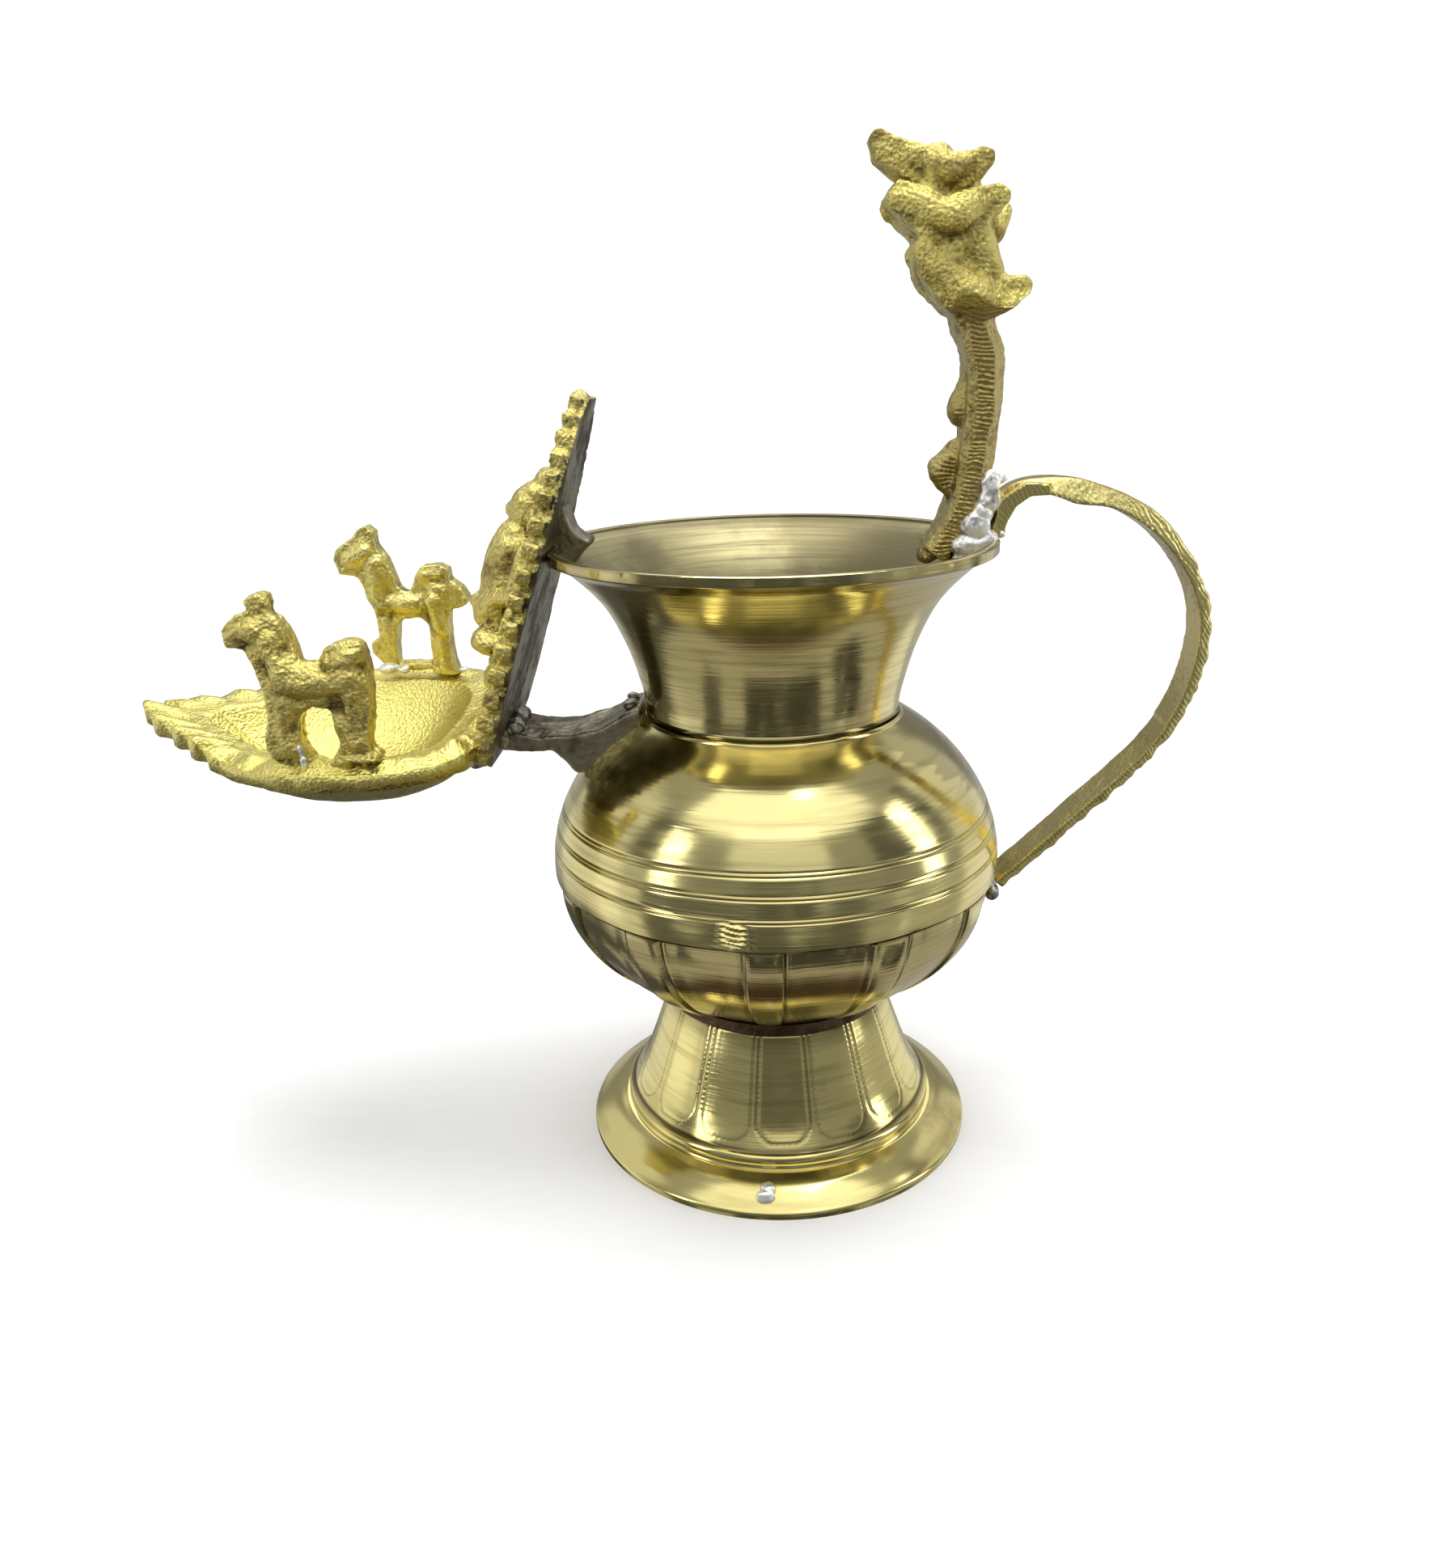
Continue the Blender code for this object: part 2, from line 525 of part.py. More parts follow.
def make_solder_joints():
    plaque_gap = [(112.6, 32.4, 33.4), (114.5, 33.9, 35.9), (116.6, 35.8, 37.4), (119.5, 37.2, 37.8)]
    sections = [[(low, -4.6, z), (high, -4.6, z), (high, 4.6, z), (low, 4.6, z)] for z, low, high in plaque_gap]
    add_piece("solder_plaque_root", loft(sections), solder("solder_plaque_root"))
    blob("solder_plaque_handle", [((40.0, 0, 126.9), (0.9, 3.4, 1.5)), ((40.2, -2.6, 126.6), (0.8, 1.6, 1.2))])
    blob("solder_handle_rim", [((42.0, 0, 117.2), (0.9, 3.4, 1.5)), ((41.7, -2.4, 115.8), (0.9, 1.6, 1.4))])
    blob("solder_handle_belly", [((42.2, 0, 47.7), (1.0, 3.6, 1.5)), ((42.1, 1.8, 46.6), (0.9, 1.8, 1.4))])
    blob("solder_bracket_neck", [((-26.2, 0, 87.6), (1.3, 5.0, 0.8)), ((-25.6, -3.2, 87.8), (1.1, 2.4, 0.9))])
    blob("solder_bracket_plate", [((-47.2, 0, 83.6), (1.0, 6.0, 0.9)), ((-47.2, 3.5, 84.0), (0.9, 2.4, 1.1))])
    blob("solder_dish_plate", [((-54.3, 8.0, 77.4), (0.9, 7.5, 1.0)), ((-54.3, -8.0, 77.4), (0.9, 7.5, 1.0)),
                               ((-54.3, 0.0, 77.2), (0.9, 5.0, 0.9))])
    blob("solder_near_horse", [((-87.4, -22.6, 83.5), (1.1, 1.3, 0.9)), ((-87.3, -21.4, 83.7), (0.8, 1.0, 0.9))], 0.3)
    blob("solder_far_horse_front", [((-83.9, 21.0, 88.3), (1.0, 2.0, 0.8)), ((-83.8, 19.8, 88.3), (0.9, 1.2, 1.0))], 0.3)
    blob("solder_far_horse_rear", [((-60.8, 19.6, 88.2), (0.9, 1.8, 0.8))], 0.3)
    flange_tilt = degrees(atan2(2.3, 3.6))
    blob("foot_plug", [((-2.3, -35.6, 3.7), (1.2, 1.4, 0.55), 0, flange_tilt),
                       ((-1.9, -34.2, 4.6), (0.9, 1.0, 0.55), 0, flange_tilt)], 0.25, 0.3)


make_foot()
make_lower_bowl()
make_upper_bowl()
make_neck()
make_handle()
make_plaque()
make_back_plate()
make_dish()
make_horse("near_horse", -90.2, -23.6, 82.6, 0.30)
make_horse("far_horse", -86.4, 22.4, 87.7, 0.12)
make_bracket()
make_rim_lug()
make_solder_rings()
make_solder_joints()
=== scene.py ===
from math import acos, asin, cos, degrees, pi, radians, sin, sqrt, tan

import bpy
import numpy as np
from mathutils import Matrix, Vector


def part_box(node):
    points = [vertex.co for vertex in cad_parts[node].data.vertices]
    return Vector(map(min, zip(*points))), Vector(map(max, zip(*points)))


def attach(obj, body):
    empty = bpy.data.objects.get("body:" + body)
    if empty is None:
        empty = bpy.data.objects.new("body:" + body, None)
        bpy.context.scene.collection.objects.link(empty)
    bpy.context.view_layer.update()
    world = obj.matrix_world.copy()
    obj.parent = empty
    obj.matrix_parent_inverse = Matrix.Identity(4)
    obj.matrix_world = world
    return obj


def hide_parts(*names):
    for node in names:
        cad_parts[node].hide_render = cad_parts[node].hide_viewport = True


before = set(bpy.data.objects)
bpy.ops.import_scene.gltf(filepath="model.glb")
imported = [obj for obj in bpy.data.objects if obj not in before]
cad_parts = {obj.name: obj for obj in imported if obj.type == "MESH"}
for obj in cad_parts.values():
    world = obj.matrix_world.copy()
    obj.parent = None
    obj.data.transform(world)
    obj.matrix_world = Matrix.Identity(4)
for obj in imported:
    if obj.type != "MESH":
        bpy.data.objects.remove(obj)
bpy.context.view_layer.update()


# ---- The room -------------------------------------------------------------------------------
# A pale paper sweep under the pot, three broad soft lights and a dim grey room round them.
# The camera stands a hand's length in front of the pot and looks down on it, as one does at a table.
MM = 0.001
foot_low, foot_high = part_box("foot")
axis_x = (foot_low.x + foot_high.x) / 2


def node(tree, kind, **settings):
    """Add a shader node. A setting is a property of the node, or else the value of an input."""
    made = tree.nodes.new(kind)
    for key, value in settings.items():
        if hasattr(made, key):
            setattr(made, key, value)
        else:
            made.inputs[key.replace("_", " ")].default_value = value
    return made


def paper():
    material = bpy.data.materials.new("sweep_paper")
    material.use_nodes = True
    tree = material.node_tree
    shader = tree.nodes["Principled BSDF"]
    fibres = node(tree, "ShaderNodeTexNoise", Scale=900.0, Detail=3.0)
    tone = node(tree, "ShaderNodeMapRange", To_Min=0.86, To_Max=0.90)
    tree.links.new(fibres.outputs["Fac"], tone.inputs["Value"])
    tree.links.new(tone.outputs["Result"], shader.inputs["Base Color"])
    shader.inputs["Roughness"].default_value = 0.8
    return material


def paper_sweep():
    """Flat floor that curves up into a wall far behind the pot."""
    profile = [(-1.6, 0.0), (0.5, 0.0)]
    profile += [(0.5 + 0.5 * sin(a), 0.5 - 0.5 * cos(a)) for a in np.linspace(0, pi / 2, 17)[1:]]
    profile += [(1.0, 2.2)]
    verts = [(x, y, z) for x in (-2.5, 2.5) for y, z in profile]
    count = len(profile)
    faces = [(i, i + 1, i + 1 + count, i + count) for i in range(count - 1)]
    mesh = bpy.data.meshes.new("paper_sweep")
    mesh.from_pydata(verts, [], faces)
    mesh.shade_smooth()
    mesh.materials.append(paper())
    sweep = bpy.data.objects.new("paper_sweep", mesh)
    sweep.visible_glossy = False
    bpy.context.scene.collection.objects.link(sweep)


def soft_light(name, place, target, width, height, power, tint=(1.0, 1.0, 1.0)):
    light = bpy.data.lights.new(name, "AREA")
    light.shape = "RECTANGLE"
    light.size, light.size_y = width, height
    light.energy = power
    light.color = tint
    lamp = bpy.data.objects.new(name, light)
    lamp.location = place
    lamp.rotation_euler = (Vector(target) - Vector(place)).to_track_quat("-Z", "Y").to_euler()
    bpy.context.scene.collection.objects.link(lamp)


# What stands round the table, as the brass sees it: azimuth from the front towards the right, half
# its width, lowest and highest elevation, soft edge (all in degrees) and brightness.
PANELS = [(5, 70, 50, 84, 7, 1.10), (180, 30, 30, 52, 5, 1.3), (-110, 24, -20, 42, 8, 0.40),
          (125, 16, -30, 38, 6, 0.45), (-84, 12, -30, 8, 6, 0.30), (56, 9, -30, -4, 5, 0.25),
          (2, 26, 27, 50, 5, 0.50)]
# Dark things in the same order, with how much light each hides: the person in front and the table's edge.
SHADES = [(-2, 64, -33, -2, 4, 0.70), (-68, 15, 16, 42, 5, 0.62), (80, 22, 16, 42, 5, 0.66),
          (4, 17, 0, 16, 3, 0.50), (-60, 8, -50, -34, 2, 0.75), (10, 36, -52, -34, 3, 0.85),
          (76, 13, -54, -33, 2, 0.88), (-145, 32, -75, -28, 10, 0.80)]


def calculate(tree, operation, *values):
    """A Math node. Each value is a number or the output of another node."""
    made = node(tree, "ShaderNodeMath", operation=operation)
    for socket, value in zip(made.inputs, values):
        if isinstance(value, (int, float)):
            socket.default_value = value
        else:
            tree.links.new(value, socket)
    return made.outputs["Value"]


def window(tree, value, centre, half, soft):
    """1 where the value is within half of the centre, falling to 0 over the soft edge."""
    off = calculate(tree, "SUBTRACT", value, radians(centre))
    turn = calculate(tree, "WRAP", off, -pi, pi)
    mask = node(tree, "ShaderNodeMapRange", interpolation_type="SMOOTHSTEP",
                From_Min=radians(half + soft), From_Max=radians(half))
    tree.links.new(calculate(tree, "ABSOLUTE", turn), mask.inputs["Value"])
    return mask.outputs["Result"]


def grey_room():
    world = bpy.data.worlds.new("grey_room")
    world.use_nodes = True
    tree = world.node_tree
    background = tree.nodes["Background"]
    where = node(tree, "ShaderNodeTexCoord")
    split = node(tree, "ShaderNodeSeparateXYZ")
    tree.links.new(where.outputs["Generated"], split.inputs["Vector"])
    x, y, z = (split.outputs[axis] for axis in "XYZ")
    azimuth = calculate(tree, "ARCTAN2", x, calculate(tree, "MULTIPLY", y, -1.0))
    elevation = calculate(tree, "ARCSINE", z)
    dim = node(tree, "ShaderNodeValToRGB")
    ramp = dim.color_ramp
    tones = [(0.0, (0.05, 0.03, 0.02)), (0.040, (0.09, 0.06, 0.04)), (0.065, (0.42, 0.40, 0.37)),
             (0.44, (0.50, 0.50, 0.49)), (0.52, (0.28, 0.28, 0.28)), (0.75, (0.34, 0.34, 0.34)),
             (1.0, (0.42, 0.42, 0.42))]
    for k, (place, tone) in enumerate(tones):
        inner_stop = 0 < k < len(tones) - 1
        stop = ramp.elements.new(place) if inner_stop else ramp.elements[0 if k == 0 else -1]
        stop.position, stop.color = place, (*tone, 1.0)
    level = node(tree, "ShaderNodeMapRange", From_Min=-1.0, From_Max=1.0)
    tree.links.new(z, level.inputs["Value"])
    tree.links.new(level.outputs["Result"], dim.inputs["Fac"])
    clutter = node(tree, "ShaderNodeTexNoise", Scale=5.0, Detail=4.0, Roughness=0.55)
    tree.links.new(where.outputs["Generated"], clutter.inputs["Vector"])
    shapes = node(tree, "ShaderNodeMapRange", interpolation_type="SMOOTHSTEP", From_Min=0.37, From_Max=0.42)
    tree.links.new(clutter.outputs["Fac"], shapes.inputs["Value"])
    kept = 1.0
    for centre, half, low, high, soft, strength in SHADES:
        across = window(tree, azimuth, centre, half, soft)
        upright = window(tree, elevation, (low + high) / 2, (high - low) / 2, soft)
        shade = calculate(tree, "MULTIPLY", across, upright)
        shade = calculate(tree, "MULTIPLY", shade, shapes.outputs["Result"])
        kept = calculate(tree, "MULTIPLY", kept, calculate(tree, "MULTIPLY_ADD", shade, -strength, 1.0))
    light = node(tree, "ShaderNodeVectorMath", operation="SCALE")
    tree.links.new(dim.outputs["Color"], light.inputs[0])
    tree.links.new(kept, light.inputs["Scale"])
    panels = 0.0
    for centre, half, low, high, soft, brightness in PANELS:
        across = window(tree, azimuth, centre, half, soft)
        upright = window(tree, elevation, (low + high) / 2, (high - low) / 2, soft)
        panel = calculate(tree, "MULTIPLY", across, upright)
        panels = calculate(tree, "MULTIPLY_ADD", panel, brightness, panels)
    total = node(tree, "ShaderNodeVectorMath", operation="ADD")
    tree.links.new(light.outputs["Vector"], total.inputs[0])
    tree.links.new(panels, total.inputs[1])
    path = node(tree, "ShaderNodeLightPath")
    shown = node(tree, "ShaderNodeMix", data_type="RGBA")
    shown.inputs[7].default_value = (0.95, 0.95, 0.95, 1.0)
    pale = calculate(tree, "MAXIMUM", path.outputs["Is Camera Ray"], path.outputs["Is Diffuse Ray"])
    tree.links.new(pale, shown.inputs["Factor"])
    tree.links.new(total.outputs["Vector"], shown.inputs[6])
    tree.links.new(shown.outputs[2], background.inputs["Color"])
    bpy.context.scene.world = world


def place_camera():
    camera = bpy.data.cameras.new("table_view")
    camera.sensor_width = 36.0
    camera.lens = 36.0 * 1500 / 1939
    viewer = bpy.data.objects.new("table_view", camera)
    turn = Matrix.Rotation(radians(2.28), 4, "Z") @ Matrix.Rotation(radians(90 - 19.03), 4, "X")
    turn = turn @ Matrix.Rotation(radians(-1.52), 4, "Z")
    viewer.matrix_world = Matrix.Translation((axis_x, -0.2185, 0.1455)) @ turn
    bpy.context.scene.collection.objects.link(viewer)
    bpy.context.scene.camera = viewer


paper_sweep()
grey_room()
soft_light("top_softbox", (0.05, 0.10, 1.1), (0, 0, 0.08), 0.8, 0.6, 7)
soft_light("left_softbox", (-0.9, -0.6, 0.5), (0, 0, 0.08), 0.25, 0.8, 2.0)
soft_light("right_softbox", (0.95, -0.1, 0.4), (0, 0, 0.08), 0.2, 0.8, 1.6)
place_camera()
bpy.context.scene.view_settings.view_transform = "Standard"


# ---- Bell foot ------------------------------------------------------------------------------
# Brass casting, turned on a lathe: a wide flange, a step ring and a hollow bell. Fifteen round-ended
# petals are scribed on the bell. A short socket at its top takes the locating ring under the bowl.
FOOT_R = 37.8


def smooth_line(points, steps):
    """A Catmull-Rom curve through the points, with a number of steps between neighbours."""
    ends = [tuple(2 * a - b for a, b in zip(points[0], points[1]))]
    ends += [tuple(p) for p in points]
    ends += [tuple(2 * a - b for a, b in zip(points[-1], points[-2]))]
    line = []
    for k in range(1, len(ends) - 2):
        p0, p1, p2, p3 = ends[k - 1:k + 3]
        for step in range(steps):
            t = step / steps
            line.append(tuple(
                0.5 * (2 * b + (c - a) * t + (2 * a - 5 * b + 4 * c - d) * t * t
                       + (3 * b - a - 3 * c + d) * t ** 3)
                for a, b, c, d in zip(p0, p1, p2, p3)))
    line.append(tuple(points[-1]))
    return line


def evenly(outline, pitch, closed=True):
    """Resample an outline so that no step is longer than the pitch. Its own points are kept."""
    points = []
    pairs = zip(outline, outline[1:] + outline[:1]) if closed else zip(outline, outline[1:])
    for a, b in pairs:
        length = sqrt(sum((p - q) ** 2 for p, q in zip(a, b)))
        count = max(1, int(length / pitch + 0.99))
        points += [tuple(p + (q - p) * i / count for p, q in zip(a, b)) for i in range(count)]
    if not closed:
        points.append(outline[-1])
    return points


def add_object(name, verts, faces, material, sharp=None):
    """One named piece from points in millimetres about the pot's axis."""
    points = np.asarray(verts, float) * MM
    points[:, 0] += axis_x
    mesh = bpy.data.meshes.new(name)
    mesh.from_pydata(points.tolist(), [], faces)
    mesh.materials.append(material)
    mesh.shade_smooth()
    if sharp:
        mesh.set_sharp_from_angle(angle=radians(sharp))
    piece = bpy.data.objects.new(name, mesh)
    bpy.context.scene.collection.objects.link(piece)
    return piece


def keep_grime_and_shade(mesh, amount):
    """Note on each point how much old dirt and painted shade sits there, from 0 to 1, for the materials to
    read.
    """
    grime_and_shade = mesh.attributes.new("grime_and_shade", "FLOAT", "POINT")
    grime_and_shade.data.foreach_set("value", amount.astype(np.float32).ravel())


def turned(name, outline, material, steps=288, shape=None, sharp=38):
    """Turn a closed outline of (r, z) round the axis. shape(r, z, angle) may move the
    points, and says how much dirt and painted shade each one holds."""
    angles = np.arange(steps) * 2 * pi / steps
    grime_and_shade = 0.0
    outline = np.asarray(outline, float)
    r = np.repeat(outline[:, :1], steps, 1)
    z = np.repeat(outline[:, 1:2], steps, 1)
    a = np.repeat(angles[None, :], len(outline), 0)
    if shape:
        r, z, grime_and_shade = shape(r, z, a)
    verts = np.stack([r * np.cos(a), r * np.sin(a), z], -1).reshape(-1, 3)
    ring, column = np.meshgrid(np.arange(len(outline)), np.arange(steps), indexing="ij")
    after_ring, after_column = (ring + 1) % len(outline), (column + 1) % steps
    faces = np.stack([ring * steps + column, ring * steps + after_column,
                      after_ring * steps + after_column, after_ring * steps + column], -1)
    piece = add_object(name, verts, faces.reshape(-1, 4).tolist(), material, sharp)
    keep_grime_and_shade(piece.data, np.zeros_like(r) + grime_and_shade)
    return piece


def lathe_marks_group():
    """Fine rings that a turning tool leaves. Lines are long round the axis and thin along it."""
    group = bpy.data.node_groups.new("lathe_marks", "ShaderNodeTree")
    group.interface.new_socket("Pitch", in_out="INPUT", socket_type="NodeSocketFloat")
    group.interface.new_socket("Height", in_out="OUTPUT", socket_type="NodeSocketFloat")
    group.interface.new_socket("Streaks", in_out="OUTPUT", socket_type="NodeSocketFloat")
    start, end = group.nodes.new("NodeGroupInput"), group.nodes.new("NodeGroupOutput")
    where = node(group, "ShaderNodeTexCoord")
    centred = node(group, "ShaderNodeVectorMath", operation="SUBTRACT")
    centred.inputs[1].default_value = (axis_x, 0.0, 0.0)
    split = node(group, "ShaderNodeSeparateXYZ")
    flat = node(group, "ShaderNodeVectorMath", operation="MULTIPLY")
    flat.inputs[1].default_value = (1.0, 1.0, 0.0)
    round_axis = node(group, "ShaderNodeVectorMath", operation="NORMALIZE")
    far = node(group, "ShaderNodeVectorMath", operation="LENGTH")
    links = group.links
    links.new(where.outputs["Object"], centred.inputs[0])
    links.new(centred.outputs["Vector"], flat.inputs[0])
    links.new(flat.outputs["Vector"], round_axis.inputs[0])
    links.new(flat.outputs["Vector"], far.inputs[0])
    links.new(centred.outputs["Vector"], split.inputs["Vector"])
    lift = calculate(group, "MULTIPLY", far.outputs["Value"], 0.45)
    along = calculate(group, "ADD", lift, split.outputs["Z"])
    rings = calculate(group, "MULTIPLY", along, start.outputs["Pitch"])
    for output, stretch, share in (("Height", 0.9, 1.0), ("Streaks", 1.3, 0.45)):
        turn = node(group, "ShaderNodeVectorMath", operation="SCALE")
        turn.inputs["Scale"].default_value = stretch
        join = node(group, "ShaderNodeCombineXYZ")
        both = node(group, "ShaderNodeVectorMath", operation="ADD")
        noise = node(group, "ShaderNodeTexNoise", Scale=1.0, Detail=3.0, Roughness=0.55)
        links.new(round_axis.outputs["Vector"], turn.inputs[0])
        links.new(calculate(group, "MULTIPLY", rings, share), join.inputs["Z"])
        links.new(turn.outputs["Vector"], both.inputs[0])
        links.new(join.outputs["Vector"], both.inputs[1])
        links.new(both.outputs["Vector"], noise.inputs["Vector"])
        links.new(noise.outputs["Fac"], end.inputs[output])
    return group


def tarnish_group():
    """Cloudy brown film: a mask of broad clouds broken up by small spots."""
    group = bpy.data.node_groups.new("tarnish", "ShaderNodeTree")
    for name in ("Scale", "Cover"):
        group.interface.new_socket(name, in_out="INPUT", socket_type="NodeSocketFloat")
    group.interface.new_socket("Mask", in_out="OUTPUT", socket_type="NodeSocketFloat")
    start, end = group.nodes.new("NodeGroupInput"), group.nodes.new("NodeGroupOutput")
    where = node(group, "ShaderNodeTexCoord")
    clouds = node(group, "ShaderNodeTexNoise", Detail=6.0, Roughness=0.62)
    low = calculate(group, "SUBTRACT", 0.72, start.outputs["Cover"])
    mask = node(group, "ShaderNodeMapRange", interpolation_type="SMOOTHSTEP")
    links = group.links
    links.new(where.outputs["Object"], clouds.inputs["Vector"])
    links.new(start.outputs["Scale"], clouds.inputs["Scale"])
    links.new(clouds.outputs["Fac"], mask.inputs["Value"])
    links.new(low, mask.inputs["From Min"])
    links.new(calculate(group, "ADD", low, 0.16), mask.inputs["From Max"])
    links.new(mask.outputs["Result"], end.inputs["Mask"])
    return group


lathe_marks = lathe_marks_group()
tarnish = tarnish_group()


def use_group(tree, group, **values):
    made = tree.nodes.new("ShaderNodeGroup")
    made.node_tree = group
    for key, value in values.items():
        made.inputs[key.replace("_", " ")].default_value = value
    return made


def mix_colour(tree, mask, clean, stained):
    """Blend two colours by a mask. Either colour may be a plain value or the output of another node."""
    blend = node(tree, "ShaderNodeMix", data_type="RGBA")
    tree.links.new(mask, blend.inputs["Factor"])
    for socket, colour in ((blend.inputs[6], clean), (blend.inputs[7], stained)):
        if isinstance(colour, tuple):
            socket.default_value = (*colour, 1.0)
        else:
            tree.links.new(colour, socket)
    return blend.outputs[2]


def turned_brass(name, clean, stained, cover, rough=(0.09, 0.22), line_depth=0.00003):
    """Pale lathe-turned brass: ring marks in the bump, streaky gloss and thin cloudy tarnish."""
    material = bpy.data.materials.new(name)
    material.use_nodes = True
    tree = material.node_tree
    shader = tree.nodes["Principled BSDF"]
    shader.inputs["Metallic"].default_value = 1.0
    marks = use_group(tree, lathe_marks, Pitch=2200.0)
    film = use_group(tree, tarnish, Scale=26.0, Cover=cover)
    colour = mix_colour(tree, film.outputs["Mask"], clean, stained)
    worked = node(tree, "ShaderNodeMapRange", From_Min=0.48, From_Max=0.70, To_Max=0.50)
    tree.links.new(marks.outputs["Streaks"], worked.inputs["Value"])
    colour = mix_colour(tree, worked.outputs["Result"], colour, tuple(c * 0.45 for c in clean))
    # Grime turns the metal almost black: painted shade in grooves, creases and under ledges, a painted dark
    # reflection on the rim's outer band, and some old dirt.
    dirt_and_shade = node(tree, "ShaderNodeAttribute", attribute_name="grime_and_shade")
    colour = mix_colour(tree, dirt_and_shade.outputs["Fac"], colour, (0.060, 0.043, 0.022))
    tree.links.new(colour, shader.inputs["Base Color"])
    gloss = node(tree, "ShaderNodeMapRange", From_Min=0.3, From_Max=0.7, To_Min=rough[0], To_Max=rough[1])
    tree.links.new(marks.outputs["Streaks"], gloss.inputs["Value"])
    tree.links.new(gloss.outputs["Result"], shader.inputs["Roughness"])
    bump = node(tree, "ShaderNodeBump", Strength=1.0, Distance=line_depth)
    tree.links.new(marks.outputs["Height"], bump.inputs["Height"])
    tree.links.new(bump.outputs["Normal"], shader.inputs["Normal"])
    return material


def petal_marks(r, z, a):
    """Fifteen petals on the bell, each a slightly hollow panel inside a scribed line with a round foot."""
    pitch, half, foot_z, corner = 24.0, 10.6, 9.4, 3.4
    centre = 2.0 - 90
    off = (np.degrees(a) - centre + pitch / 2) % pitch - pitch / 2
    across = np.abs(np.radians(off) * r)
    wide = np.radians(half) * r
    px = np.maximum(across - (wide - corner), 0)
    pz = np.maximum(foot_z + corner - z, 0)
    inside = corner - np.hypot(px, pz)
    inside = np.where((px == 0) & (pz == 0), np.minimum(wide - across, z - foot_z), inside)
    outer = (z > 8.5) & (z < 28.5) & (r > bell_inner(z) + 0.9)
    chatter = 0.75 + 0.5 * np.sin(z * 2 * pi / 0.9) * np.sin(np.degrees(a) * 2 * pi / 2.3)
    groove = 0.14 * chatter * np.exp(-(inside / 0.24) ** 2)
    hollow = np.where(inside > 0, 0.13 * np.cos(np.radians(off / half * 90)) * np.clip(inside / 1.6, 0, 1), 0)
    fade = np.clip((z - 8.6) / 0.8, 0, 1)
    # Painted shade with some old dirt: a dark line in each scribed groove, a dark line in the crease at the
    # step, and the bell darker towards its top, where it goes in under the bowl.
    dirt_and_shade = 0.60 * fade * np.exp(-((inside + 0.05) / 0.18) ** 2) * np.clip(chatter, 0, 1)
    joint = 0.9 * np.exp(-((z - 8.2) / 0.35) ** 2) + 0.75 * np.clip((z - 24.5) / 4.5, 0, 1)
    grime_and_shade = np.clip(np.where(outer, dirt_and_shade, 0) + joint, 0, 1)
    return np.where(outer, r - fade * (groove + hollow), r), z, grime_and_shade


BELL = [(29.3, 8.2), (27.2, 12.0), (25.6, 16.0), (24.2, 20.0), (22.8, 24.0), (21.4, 27.6)]
BELL_INSIDE = [(27.6, 8.0), (25.4, 12.0), (22.4, 20.0), (19.4, 27.0)]


def bell_inner(z):
    inside = sorted((h, r) for r, h in BELL_INSIDE)
    return np.interp(z, [h for h, r in inside], [r for h, r in inside])


def foot_outline():
    flange = [(FOOT_R, 0.0), (FOOT_R, 0.9), (37.65, 1.25), (37.2, 1.55)]
    flange += smooth_line([(37.2, 1.55), (35.4, 2.9), (33.2, 4.3), (31.0, 5.15)], 5)[1:]
    step = [(30.55, 5.2), (30.35, 5.5), (30.3, 6.0)]
    step += smooth_line([(30.3, 6.0), (30.5, 6.8), (30.2, 7.6), (29.6, 8.0)], 4)
    bell = smooth_line(BELL, 8)
    top = [(20.5, 28.6), (19.7, 29.1), (18.6, 29.1)]
    inside = smooth_line(BELL_INSIDE[::-1], 4)
    under = [(28.8, 5.4), (33.4, 2.6), (35.6, 1.2), (35.9, 0.0)]
    return evenly(flange + step + bell + top + inside + under, 0.35)


foot_brass = turned_brass("foot_brass", (0.77, 0.67, 0.28), (0.34, 0.22, 0.10), 0.10)
bell_foot = turned("bell_foot", foot_outline(), foot_brass, 480, petal_marks)
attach(bell_foot, "root")
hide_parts("foot")


# ---- Fluted lower bowl ----------------------------------------------------------------------
# The lower half of the belly, cast with twelve wide panels between narrow raised ribs, then
# skimmed on the lathe. A tongue on its edge goes up inside the upper half.
BELLY_R, BELLY_Z, BELLY_UP, BELLY_DOWN = 42.2, 57.0, 33.6, 30.5
SEAM_Z = 55.5


def belly_arc(start, end, steps, grow=0.0):
    """Points of the belly's outside between two angles in radians, 0 at the widest place."""
    points = []
    for a in np.linspace(start, end, steps + 1):
        height = BELLY_UP if a >= 0 else BELLY_DOWN
        points.append(((BELLY_R + grow) * cos(a), BELLY_Z + (height + grow) * sin(a)))
    return points


